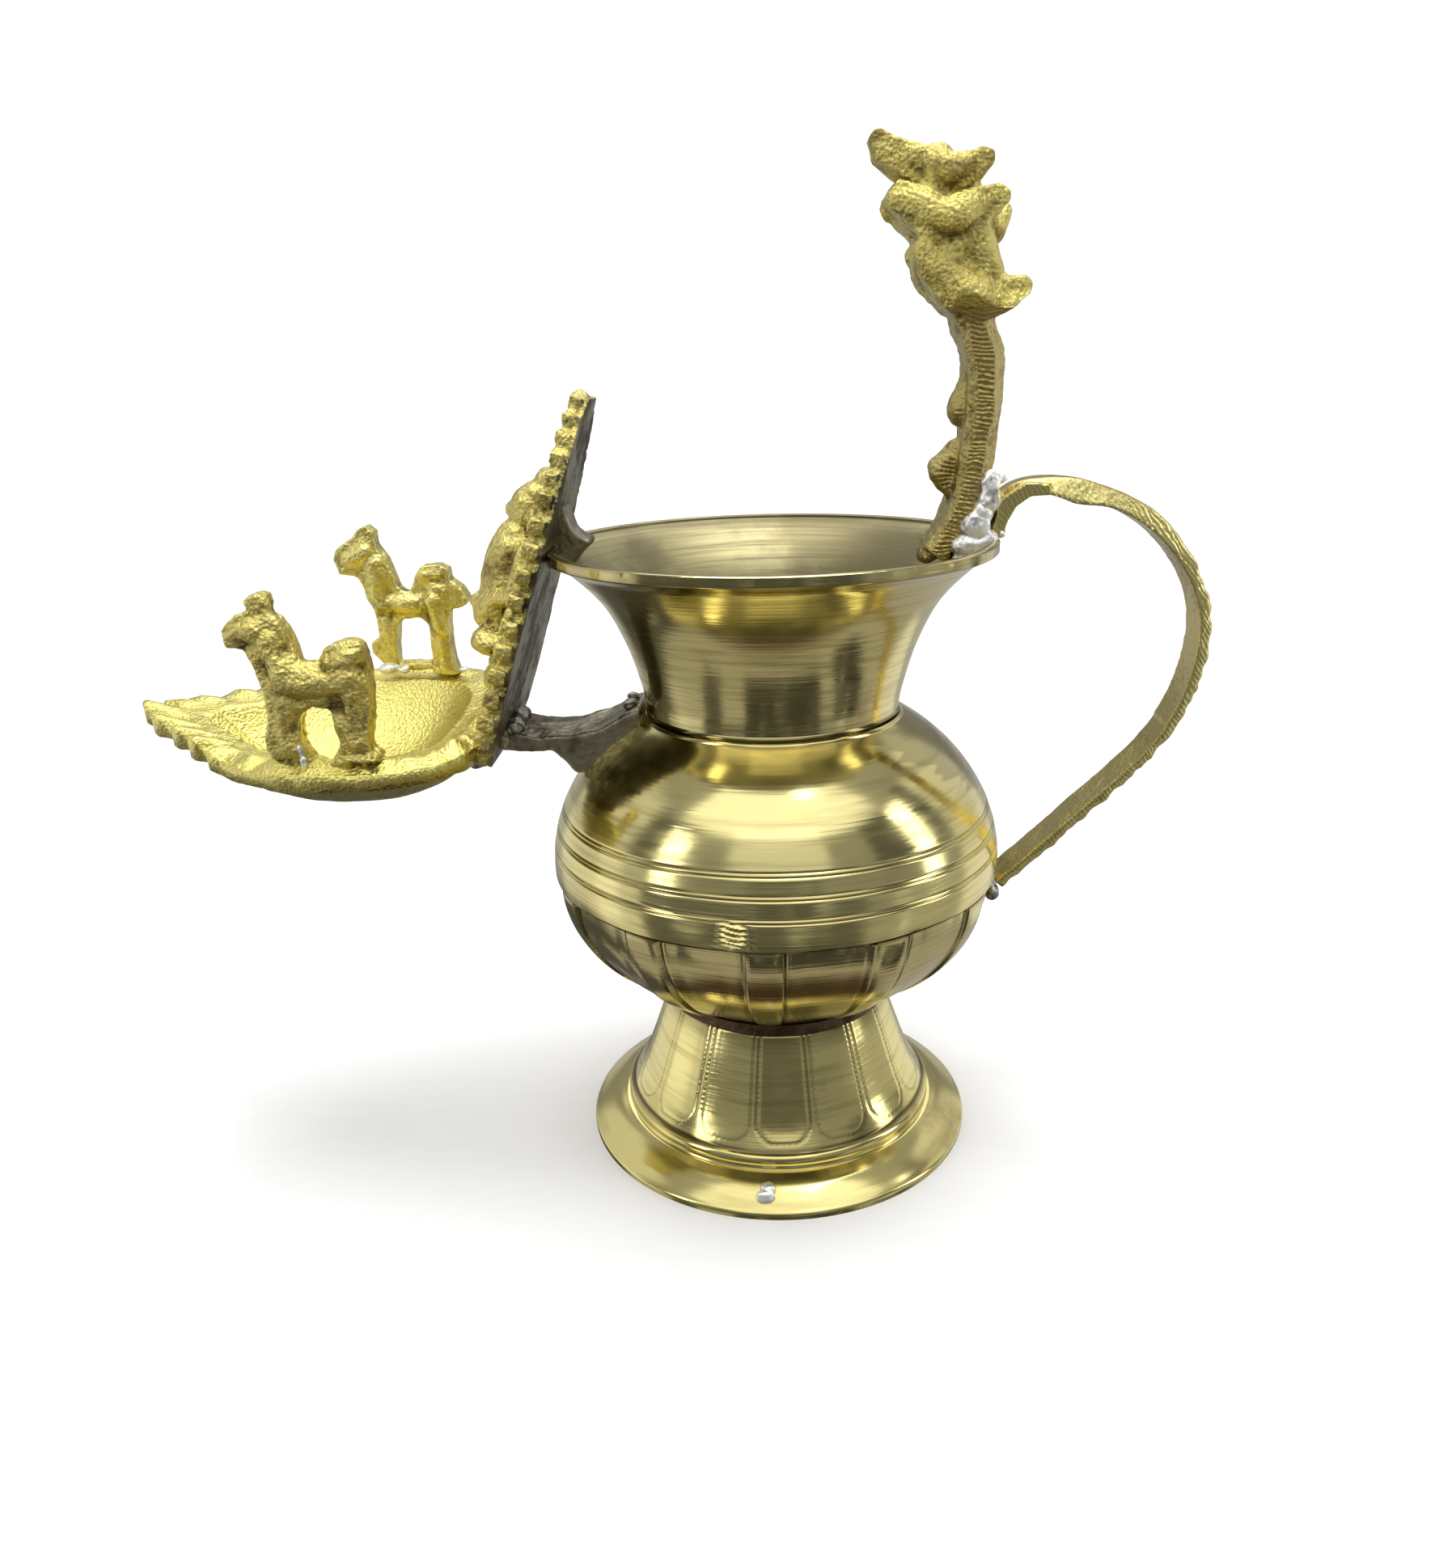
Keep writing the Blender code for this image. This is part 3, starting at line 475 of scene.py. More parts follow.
def flutes(r, z, a):
    """Sink the panels between the ribs, with a cut line along each edge, under the seam's ledge."""
    pitch, rib, first = 30.0, 4.7, -92.8
    off = (np.degrees(a) - first + pitch / 2) % pitch - pitch / 2
    edge = (np.abs(off) - rib) * np.radians(1) * r
    outside = (np.abs((r / BELLY_R) ** 2 + ((z - BELLY_Z) / BELLY_DOWN) ** 2 - 1) < 0.02) & (z > 29.5)
    step = np.clip(edge / 0.35 + 0.5, 0, 1)
    hollow = 0.45 * np.clip(edge / 3.4, 0, 1) ** 0.7
    line = 0.40 * np.exp(-((edge - 0.15) / 0.32) ** 2)
    crown = 0.15 * np.clip(-edge / 1.5, 0, 1)
    run_out = np.clip((SEAM_Z + 0.1 - z) / 0.5, 0, 1) * np.clip((z - 29.0) / 4.0, 0, 1)
    depth = 0.45 * step + hollow + line - crown
    uneven = 0.7 + 0.3 * np.sin(a * 7 + 1.3)
    # Painted shade with some old dirt: dark along the cut line at each panel's edge, a dark line under the
    # seam's ledge, and darker towards the bottom of the bowl.
    dirt_and_shade = 0.85 * uneven * np.exp(-((edge - 0.2) / 0.34) ** 2) * run_out
    dirt_and_shade = dirt_and_shade + 0.7 * np.exp(-((z - SEAM_Z - 0.1) / 0.45) ** 2) + 0.35 * np.clip((36 - z) / 5, 0, 1)
    return np.where(outside, r - depth * run_out, r), z, np.where(outside, np.clip(dirt_and_shade, 0, 1), 0)


def lower_bowl_outline():
    seam = asin((SEAM_Z - BELLY_Z) / BELLY_DOWN)
    outside = belly_arc(seam, -acos(18.2 / BELLY_R), 70)
    ring = [(18.2, 26.9), (16.4, 26.9), (16.4, BELLY_Z - BELLY_DOWN * sin(acos(16.4 / BELLY_R)))]
    under = belly_arc(-radians(72), -radians(89.9), 8)
    inside = [(40.2 * sin(b), BELLY_Z - 28.7 * cos(b)) for b in np.linspace(0.002, radians(87), 40)]
    tongue = [(40.2, SEAM_Z + 2.0), (41.0, SEAM_Z + 2.0), (41.0, SEAM_Z)]
    return outside + ring + under + inside + tongue


bowl_brass = turned_brass("bowl_brass", (0.70, 0.61, 0.29), (0.30, 0.20, 0.10), 0.16)
fluted_bowl = turned("fluted_bowl", lower_bowl_outline(), bowl_brass, 480, flutes)
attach(fluted_bowl, "root")
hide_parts("lower_bowl")


# ---- Shoulder bowl --------------------------------------------------------------------------
# The upper half of the belly, turned all over, with three pairs of fine grooves below the shoulder.
# Its lower edge overhangs the panels a little, and a flat land on top carries the neck.
GROOVES = (68.0, 64.5, 60.8)


def shoulder_shape(r, z, a):
    """Grooves, the slightly uneven lower lip, and a patch of tool chatter at the front."""
    outside = (r / (BELLY_R - 0.5)) ** 2 + ((z - BELLY_Z) / (BELLY_UP - 0.5)) ** 2 > 1
    outside &= z < 84.5
    cut = np.zeros_like(r)
    for k, height in enumerate(GROOVES):
        wobble = 0.05 * np.sin(a * 3 + k)
        for shift, deep in ((-0.32, 0.26), (0.34, 0.20)):
            cut += deep * np.exp(-((z - height - shift - wobble) / 0.16) ** 2)
        cut -= 0.06 * np.exp(-((z - height) / 0.9) ** 2)
    off = (np.degrees(a) + 90 + 180) % 360 - 180
    patch = np.exp(-((off + 9.5) / 3.2) ** 4) * np.exp(-((z - 58.4) / 2.3) ** 4)
    cut += 0.30 * patch * np.sin(z * 2 * pi / 0.95 + off * 0.9)
    lip = 0.10 * np.sin(a * 5) + 0.06 * np.sin(a * 13 + 1)
    dirt_and_shade = np.zeros_like(r)
    # Painted shade, with some old dirt, as a dark line in each groove.
    for height in GROOVES:
        dirt_and_shade += 0.55 * np.exp(-((z - height - 0.32) / 0.14) ** 2)
        dirt_and_shade += 0.35 * np.exp(-((z - height + 0.34) / 0.14) ** 2)
    # A real stain: a patch of brown film high on the right of the shoulder.
    film_edge = 45 + (82 - z) * 2.9 + 3 * np.sin(z * 1.7) + 2 * np.sin(z * 4.1)
    dirt_and_shade += 0.36 * np.clip((off - film_edge) / 2.5, 0, 1) * np.clip((120 - off) / 25, 0, 1) * (z > 66)
    z = z + np.where(outside & (z < SEAM_Z + 0.5), lip, 0)
    return np.where(outside, r - cut, r), z, np.where(outside, np.clip(dirt_and_shade, 0, 1), 0)


def shoulder_outline():
    bottom = asin((SEAM_Z + 0.25 - BELLY_Z) / BELLY_DOWN)
    outside = evenly(belly_arc(bottom, acos(24.0 / BELLY_R), 40), 0.16, closed=False)
    land = [(23.9, 84.95), (23.6, 85.2), (21.9, 85.2)]
    inner_r, inner_up = BELLY_R - 1.8, BELLY_UP - 1.8
    inside = [(inner_r * cos(b), BELLY_Z + inner_up * sin(b))
              for b in np.linspace(acos(21.9 / inner_r), asin((SEAM_Z + 2.6 - BELLY_Z) / inner_up), 24)]
    rabbet = [(41.35, SEAM_Z + 2.6), (41.35, SEAM_Z + 0.35), (42.0, SEAM_Z + 0.12)]
    return outside + land + inside + rabbet


shoulder_brass = turned_brass("shoulder_brass", (0.74, 0.65, 0.29), (0.36, 0.27, 0.13), 0.12)
shoulder_bowl = turned("shoulder_bowl", shoulder_outline(), shoulder_brass, 360, shoulder_shape)
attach(shoulder_bowl, "root")
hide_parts("upper_bowl")


# ---- Trumpet neck ---------------------------------------------------------------------------
# Turned from one casting, thin at the mouth, with a bright rim. A spigot at its foot stands in the
# shoulder. The rim is dressed flat where the back plate is soldered against it.
RIM_R, RIM_Z, NECK_FOOT_Z = 40.0, 116.0, 85.6
PLATE_FOOT, PLATE_LEAN = (-50.6, 78.0), radians(18.1)


def neck_outline():
    outer = smooth_line([(23.2, 86.2), (23.9, 90.0), (26.3, 98.0), (30.3, 106.0), (36.0, 112.0),
                         (39.3, 113.9)], 12)
    inner = []
    for k, (r, z) in enumerate(outer):
        r0, z0 = outer[max(k - 1, 0)]
        r1, z1 = outer[min(k + 1, len(outer) - 1)]
        length = sqrt((r1 - r0) ** 2 + (z1 - z0) ** 2)
        inner.append((r - 1.7 * (z1 - z0) / length, z + 1.7 * (r1 - r0) / length))
    inner = [p for p in inner if 88.0 < p[1] < RIM_Z - 0.35]
    rim = [(39.8, 114.1), (RIM_R, 114.3), (RIM_R, 115.8), (39.85, 115.95), (39.6, RIM_Z),
           (38.9, RIM_Z), (38.5, 115.8)]
    foot = [(23.35, NECK_FOOT_Z), (23.5, 85.75), (23.4, 85.95)]
    spigot = [(20.3, 86.4), (20.3, 82.6), (21.5, 82.6), (21.5, NECK_FOOT_Z)]
    return foot + outer + rim + inner[::-1] + spigot


def dress_rim(r, z, a):
    """Press the rim flat against the plane of the back plate, and nick its edge lightly."""
    plane = -(PLATE_FOOT[0] + (z - PLATE_FOOT[1]) * tan(PLATE_LEAN)) - 0.3
    limit = plane / np.maximum(-np.cos(a), 1e-6)
    limit = np.where(r < 39.0, limit - 1.2, limit)
    nick = 0.10 * np.exp(-((np.sin(a * 37) - 1) / 0.04) ** 2)
    nick += 0.06 * np.exp(-((np.sin(a * 23 + 1) - 1) / 0.03) ** 2)
    r = np.where((z > 114.9) & (r > 39.7), r - nick, r)
    flat = np.where((z > 108) & (np.cos(a) < 0), np.minimum(r, limit), r)
    # Painted shade with some old dirt in the crease at the neck's foot and under the lip of the rim, and the
    # rim's outer band painted darker as a dark reflection.
    dirt_and_shade = 0.8 * np.exp(-((z - 85.9) / 0.30) ** 2) + np.where(r > 39.9, 0.35, 0)
    return flat, z, np.clip(dirt_and_shade + 0.6 * np.exp(-((z - 114.05) / 0.2) ** 2) * (r > 38.5), 0, 1)


neck_brass = turned_brass("neck_brass", (0.72, 0.63, 0.29), (0.36, 0.27, 0.13), 0.14)
mouth_brass = turned_brass("mouth_brass", (0.36, 0.32, 0.17), (0.22, 0.19, 0.10), 0.30, (0.38, 0.55))
trumpet_neck = turned("trumpet_neck", evenly(neck_outline(), 0.5), neck_brass, 360, dress_rim)
trumpet_neck.data.materials.append(mouth_brass)
for face in trumpet_neck.data.polygons:
    x, y, z = face.center
    if face.normal.x * (x - axis_x) + face.normal.y * y < -0.001 and z > 0.087:
        face.material_index = 1
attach(trumpet_neck, "root")
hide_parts("neck_funnel")


# ---- Strap handle ---------------------------------------------------------------------------
# A cast strap, bent warm, with a softly lumpy back and a smooth inner face. Its near and far edges
# are filed to a slope. The root stands on the rim in a filleted web, and the lower end rests on the belly.
HANDLE_LINE = [(39.4, 116.4), (40.1, 121.4), (44.6, 124.4), (55.3, 123.7), (67.6, 117.4),
               (75.9, 104.6), (76.2, 91.5), (70.4, 78.2), (56.6, 63.8), (42.6, 50.3)]
STRAP_HALF_WIDTH = 4.25


def lumps(points, size, seed=0):
    """Smooth noise between -1 and 1 at points in millimetres, in lumps about that size."""
    p = points / size + seed * 17.31
    cell = np.floor(p).astype(np.int64)
    f = p - cell
    f = f * f * (3 - 2 * f)
    total = np.zeros(len(points))
    for corner in range(8):
        step = np.array([corner & 1, corner >> 1 & 1, corner >> 2])
        c = cell + step
        h = c[:, 0] * 73856093 ^ c[:, 1] * 19349663 ^ c[:, 2] * 83492791
        h = (h ^ h >> 13) * 1274126177
        value = (h ^ h >> 16 & 0xffff) % 65536 / 32767.5 - 1
        total += value * np.prod(np.where(step == 1, f, 1 - f), axis=1)
    return total


def ball(centre, radii, lean=0.0):
    """A lump of wax: an ellipsoid, leaned in the XZ plane by an angle in degrees."""
    rx, ry, rz = radii
    c, s = cos(radians(lean)), sin(radians(lean))
    rows, columns = 9, 14
    verts = [(0.0, 0.0, rz)]
    for i in range(1, rows):
        ring, height = sin(pi * i / rows), cos(pi * i / rows)
        verts += [(rx * ring * cos(2 * pi * j / columns), ry * ring * sin(2 * pi * j / columns), rz * height)
                  for j in range(columns)]
    verts.append((0.0, 0.0, -rz))
    faces = [(0, 1 + j, 1 + (j + 1) % columns) for j in range(columns)]
    for i in range(rows - 2):
        a, b = 1 + i * columns, 1 + (i + 1) * columns
        faces += [(a + j, b + j, b + (j + 1) % columns, a + (j + 1) % columns) for j in range(columns)]
    last = 1 + (rows - 2) * columns
    faces += [(last + j, len(verts) - 1, last + (j + 1) % columns) for j in range(columns)]
    x0, y0, z0 = centre
    return [(x0 + x * c + z * s, y0 + y, z0 - x * s + z * c) for x, y, z in verts], faces


def limb(start, end, thick, thin, wide=1.0):
    """A tapering roll of wax from start to end, as a row of overlapping balls."""
    length = sqrt(sum((p - q) ** 2 for p, q in zip(start, end)))
    count = max(2, int(length / (min(thick, thin) * 0.35)) + 1)
    made = []
    for t in np.linspace(0, 1, count):
        r = thick + (thin - thick) * t
        made.append(ball(tuple(p + (q - p) * t for p, q in zip(start, end)), (r, r * wide, r)))
    return made


def slab(outline, y0, y1):
    """A plate with the given (x, z) outline, from y0 to y1."""
    area = sum(a[0] * b[1] - b[0] * a[1] for a, b in zip(outline, outline[1:] + outline[:1]))
    loop = outline if area > 0 else outline[::-1]
    n = len(loop)
    verts = [(x, y0, z) for x, z in loop] + [(x, y1, z) for x, z in loop]
    faces = [tuple(range(n)), tuple(range(2 * n - 1, n - 1, -1))]
    faces += [(i, i + n, (i + 1) % n + n, (i + 1) % n) for i in range(n)]
    return verts, faces


def cast(name, shapes, voxel, material, relax=2, grain=0.10, swell=0.20, seed=0, dress=None):
    """Melt closed shapes into one skin, soften it, and roughen it like metal poured in sand.
    dress(points) may then file some of the points flat."""
    verts, faces = [], []
    for shape_verts, shape_faces in shapes:
        faces += [tuple(i + len(verts) for i in face) for face in shape_faces]
        verts += [(x * MM, y * MM, z * MM) for x, y, z in shape_verts]
    wax = bpy.data.meshes.new("wax")
    wax.from_pydata(verts, [], faces)
    model = bpy.data.objects.new("wax", wax)
    bpy.context.scene.collection.objects.link(model)
    skin = model.modifiers.new("skin", "REMESH")
    skin.mode, skin.voxel_size = "VOXEL", voxel * MM
    bpy.context.view_layer.update()
    poured = bpy.data.meshes.new_from_object(model.evaluated_get(bpy.context.evaluated_depsgraph_get()))
    bpy.data.objects.remove(model)
    bpy.data.meshes.remove(wax)
    count = len(poured.vertices)
    points = np.empty(count * 3)
    poured.vertices.foreach_get("co", points)
    points = points.reshape(-1, 3) / MM
    ends = np.empty(len(poured.edges) * 2, np.int64)
    poured.edges.foreach_get("vertices", ends)
    ends = ends.reshape(-1, 2)
    joins = np.bincount(ends.ravel(), minlength=count)[:, None]

    def around(points):
        """The mean of each point's neighbours."""
        total = np.zeros_like(points)
        for axis in range(3):
            total[:, axis] = np.bincount(ends[:, 0], points[ends[:, 1], axis], count)
            total[:, axis] += np.bincount(ends[:, 1], points[ends[:, 0], axis], count)
        return total / joins

    for _ in range(relax):
        points = points * 0.4 + around(points) * 0.6
    normals = np.empty(count * 3)
    poured.vertex_normals.foreach_get("vector", normals)
    normals = normals.reshape(-1, 3)
    fine, middle, broad = 0.75, 1.5, 3.4
    height = grain * lumps(points, fine, seed + 1) + grain * lumps(points, middle, seed + 2)
    height += swell * lumps(points, broad, seed + 3)
    hollow = -height * 1.2
    points = points + normals * height[:, None]
    if dress:
        points = dress(points)
    points = points * MM
    points[:, 0] += axis_x
    poured.vertices.foreach_set("co", points.ravel())
    poured.update()
    poured.materials.clear()
    poured.materials.append(material)
    poured.shade_smooth()
    poured.name = name
    # The deeper a place lies in a hollow or a sunk lump, the more grime it takes: painted shade, with some
    # old dirt.
    hollow += ((around(points) - points) * normals).sum(1) / MM / voxel * 2.2
    keep_grime_and_shade(poured, np.clip(1.5 * (hollow - 0.10), 0, 0.8))
    piece = bpy.data.objects.new(name, poured)
    bpy.context.scene.collection.objects.link(piece)
    return piece


def cast_grain_group():
    """Sand-cast skin: fine pits and grains, with a mask that marks the pits."""
    group = bpy.data.node_groups.new("cast_grain", "ShaderNodeTree")
    group.interface.new_socket("Scale", in_out="INPUT", socket_type="NodeSocketFloat")
    group.interface.new_socket("Height", in_out="OUTPUT", socket_type="NodeSocketFloat")
    group.interface.new_socket("Pits", in_out="OUTPUT", socket_type="NodeSocketFloat")
    start, end = group.nodes.new("NodeGroupInput"), group.nodes.new("NodeGroupOutput")
    where = node(group, "ShaderNodeTexCoord")
    coarse = node(group, "ShaderNodeTexNoise", Detail=5.0, Roughness=0.7)
    cells = node(group, "ShaderNodeTexVoronoi", feature="SMOOTH_F1", Smoothness=0.6)
    pits = node(group, "ShaderNodeMapRange", From_Min=0.42, From_Max=0.30)
    for texture in (coarse, cells):
        group.links.new(where.outputs["Object"], texture.inputs["Vector"])
        group.links.new(start.outputs["Scale"], texture.inputs["Scale"])
    both = calculate(group, "ADD", coarse.outputs["Fac"], cells.outputs["Distance"])
    group.links.new(both, end.inputs["Height"])
    group.links.new(coarse.outputs["Fac"], pits.inputs["Value"])
    group.links.new(pits.outputs["Result"], end.inputs["Pits"])
    return group


def file_marks_group():
    """Parallel file cuts on the faces that look along Y, spaced along the given direction."""
    spacing, uneven = 0.00075, 0.0028
    group = bpy.data.node_groups.new("file_marks", "ShaderNodeTree")
    group.interface.new_socket("Direction", in_out="INPUT", socket_type="NodeSocketVector")
    group.interface.new_socket("Height", in_out="OUTPUT", socket_type="NodeSocketFloat")
    group.interface.new_socket("Filed", in_out="OUTPUT", socket_type="NodeSocketFloat")
    start, end = group.nodes.new("NodeGroupInput"), group.nodes.new("NodeGroupOutput")
    where = node(group, "ShaderNodeTexCoord")
    along = node(group, "ShaderNodeVectorMath", operation="DOT_PRODUCT")
    wander = node(group, "ShaderNodeTexNoise", Scale=160.0, Detail=2.0)
    split = node(group, "ShaderNodeSeparateXYZ")
    mask = node(group, "ShaderNodeMapRange", From_Min=0.78, From_Max=0.88)
    links = group.links
    links.new(where.outputs["Object"], along.inputs[0])
    links.new(start.outputs["Direction"], along.inputs[1])
    links.new(where.outputs["Object"], wander.inputs["Vector"])
    links.new(where.outputs["Normal"], split.inputs["Vector"])
    links.new(calculate(group, "ABSOLUTE", split.outputs["Y"]), mask.inputs["Value"])
    shift = calculate(group, "MULTIPLY_ADD", wander.outputs["Fac"], uneven, along.outputs["Value"])
    wave = calculate(group, "SINE", calculate(group, "MULTIPLY", shift, 2 * pi / spacing))
    links.new(calculate(group, "MULTIPLY", wave, mask.outputs["Result"]), end.inputs["Height"])
    links.new(mask.outputs["Result"], end.inputs["Filed"])
    return group


cast_grain = cast_grain_group()
file_marks = file_marks_group()


def cast_brass(name, clean, stained, cover, grain=1500.0, depth=0.00010, rough=(0.30, 0.45), filed=None,
               bright=None, furrow=0.2):
    """Cast brass: grainy skin, dark pits, cloudy tarnish and, where filed, clean metal with cut lines."""
    material = bpy.data.materials.new(name)
    material.use_nodes = True
    tree = material.node_tree
    shader = tree.nodes["Principled BSDF"]
    shader.inputs["Metallic"].default_value = 1.0
    skin = use_group(tree, cast_grain, Scale=grain)
    film = use_group(tree, tarnish, Scale=110.0, Cover=cover)
    colour = mix_colour(tree, film.outputs["Mask"], clean, stained)
    deep = tuple(c * 0.5 for c in clean)
    colour = mix_colour(tree, skin.outputs["Pits"], colour, deep)
    # Grime turns the skin almost black: painted shade in the hollows of the casting, with some old dirt.
    dirt_and_shade = node(tree, "ShaderNodeAttribute", attribute_name="grime_and_shade")
    colour = mix_colour(tree, dirt_and_shade.outputs["Fac"], colour, tuple(c * 0.16 for c in stained))
    gloss = node(tree, "ShaderNodeMapRange", To_Min=rough[0], To_Max=rough[1])
    tree.links.new(film.outputs["Mask"], gloss.inputs["Value"])
    tree.links.new(gloss.outputs["Result"], shader.inputs["Roughness"])
    bump = node(tree, "ShaderNodeBump", Strength=1.0, Distance=depth)
    tree.links.new(skin.outputs["Height"], bump.inputs["Height"])
    normal = bump.outputs["Normal"]
    if filed:
        cuts = use_group(tree, file_marks, Direction=filed)
        colour = mix_colour(tree, cuts.outputs["Filed"], colour, bright or clean)
        dark_cuts = node(tree, "ShaderNodeMapRange", From_Min=0.1, From_Max=1.0, To_Max=furrow)
        tree.links.new(cuts.outputs["Height"], dark_cuts.inputs["Value"])
        colour = mix_colour(tree, dark_cuts.outputs["Result"], colour, tuple(c * 0.7 for c in stained))
        lines = node(tree, "ShaderNodeBump", Strength=1.0, Distance=0.00012 * furrow)
        tree.links.new(cuts.outputs["Height"], lines.inputs["Height"])
        tree.links.new(normal, lines.inputs["Normal"])
        normal = lines.outputs["Normal"]
    tree.links.new(colour, shader.inputs["Base Color"])
    tree.links.new(normal, shader.inputs["Normal"])
    return material


def strap_shape():
    """Loft the strap along its line. It is thicker past the root and thins towards the belly."""
    line = np.array(evenly(smooth_line(HANDLE_LINE, 10), 0.6, closed=False))
    way = np.gradient(line, axis=0)
    way /= np.linalg.norm(way, axis=1)[:, None]
    run = np.concatenate([[0], np.cumsum(np.linalg.norm(np.diff(line, axis=0), axis=1))])
    verts, faces = [], []
    for (x, z), (tx, tz), s in zip(line, way, run):
        inner = 1.35 + 1.3 * np.exp(-((s - 19.5) / 4.2) ** 2)
        inner += 0.35 * np.exp(-((s - 30) / 9) ** 2) - 0.25 * (s > 75)
        wavy = min(1.0, max(0.0, (s - 34) / 12))
        bumps = sin(s * 2 * pi / 3.3 + 2.5 * sin(s * 0.37))
        bumps += 0.9 * sin(s * 2 * pi / 6.1 + 1.5 * sin(s * 0.21))
        outer = 1.35 - 0.20 * wavy + 0.15 * wavy * bumps
        inner -= 0.30 * wavy
        back = STRAP_HALF_WIDTH - 1.8 + 1.2 * wavy
        for d, y in ((outer, -back), (outer, back),
                     (-inner, STRAP_HALF_WIDTH), (-inner, -STRAP_HALF_WIDTH)):
            verts.append((x - tz * d, y, z + tx * d))
    for k in range(len(line) - 1):
        a, b = 4 * k, 4 * k + 4
        faces += [(a + j, a + (j + 1) % 4, b + (j + 1) % 4, b + j) for j in range(4)]
    n = len(verts)
    return verts, faces + [(3, 2, 1, 0), (n - 4, n - 3, n - 2, n - 1)]


def file_strap_edges(points):
    limit = STRAP_HALF_WIDTH - 0.15 + 0.05 * lumps(points, 3.0, 9)
    points[:, 1] = np.clip(points[:, 1], -limit, limit)
    points[:, 0] = np.minimum(points[:, 0], 78.1)
    return points


handle_brass = cast_brass("handle_brass", (0.64, 0.53, 0.19), (0.34, 0.26, 0.10), 0.16, 1300.0, 0.00006,
                          (0.22, 0.36), (0.8, 0.0, 0.6), (0.86, 0.76, 0.30), 0.16)
ROOT_WEB = [(38.0, 115.9), (40.6, 115.9), (41.0, 118.6), (42.4, 121.3), (44.8, 122.9), (48.0, 123.0),
            (48.0, 125.0), (44.0, 125.3), (39.8, 122.6)]
strap_handle = cast("strap_handle", [strap_shape(), slab(ROOT_WEB, -4.2, 4.2)], 0.32, handle_brass,
                    relax=2, grain=0.03, swell=0.10, seed=11, dress=file_strap_edges)
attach(strap_handle, "root")
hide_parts("handle_strap")


# ---- Serpent plaque -------------------------------------------------------------------------
# One lost-wax casting: a curved stem that widens into a root inside the mouth, two small seated
# figures on its inner side, and three tiers of hood above. Only its two narrow sides were filed.
LOW_HOOD = [(23.9, 162.9), (25.3, 164.1), (27.8, 163.7), (31.0, 161.0), (33.4, 158.0), (36.6, 157.4),
            (41.6, 158.0), (43.0, 157.1), (42.7, 155.4), (39.9, 153.0), (36.8, 151.7), (33.4, 151.6),
            (29.8, 152.5), (27.1, 155.5), (24.5, 158.5)]
MIDDLE_HOOD = [(19.3, 170.3), (20.9, 172.5), (25.2, 171.3), (29.6, 169.3), (33.2, 171.0), (36.9, 171.6),
               (38.6, 170.4), (38.5, 168.9), (34.7, 165.9), (31.3, 163.6), (26.7, 163.6), (24.5, 164.1),
               (21.6, 166.6)]
TOP_HOOD = [(16.6, 179.4), (17.8, 180.6), (22.8, 178.0), (30.8, 176.0), (34.2, 177.0), (36.2, 176.4),
            (36.2, 175.0), (34.3, 172.6), (30.7, 171.1), (25.0, 171.9), (20.6, 173.6), (17.4, 176.2)]


def stem_shape():
    """The stem as a bowed bar: square at the near and far sides, wider in the hood than at the root."""
    line = smooth_line([(29.6, 112.6), (32.4, 117.0), (34.5, 122.5), (35.7, 130.0), (36.5, 138.0),
                        (36.3, 145.5), (34.6, 151.0), (33.2, 156.0)], 6)
    verts, faces = [], []
    count = len(line)
    for k, (x, z) in enumerate(line):
        x0, z0 = line[max(k - 1, 0)]
        x1, z1 = line[min(k + 1, count - 1)]
        length = sqrt((x1 - x0) ** 2 + (z1 - z0) ** 2)
        out_x, out_z = (z1 - z0) / length, -(x1 - x0) / length
        t = k / (count - 1)
        half, body = 5.4 + 1.8 * t, 1.0 + 0.9 * max(0.0, t - 0.8)
        for d, y in ((-1.9, -half), (0.6, -half), (2.9, 3.4 - half), (2.9, half - 3.4), (0.6, half),
                     (-1.9, half), (-3.3, half - 1.6), (-3.3, 1.6 - half)):
            verts.append((x + out_x * d * body, y, z + out_z * d * body))
    for k in range(count - 1):
        a, b = 8 * k, 8 * k + 8
        faces += [(a + j, a + (j + 1) % 8, b + (j + 1) % 8, b + j) for j in range(8)]
    n = len(verts)
    return verts, faces + [tuple(range(8))[::-1], tuple(range(n - 8, n))]


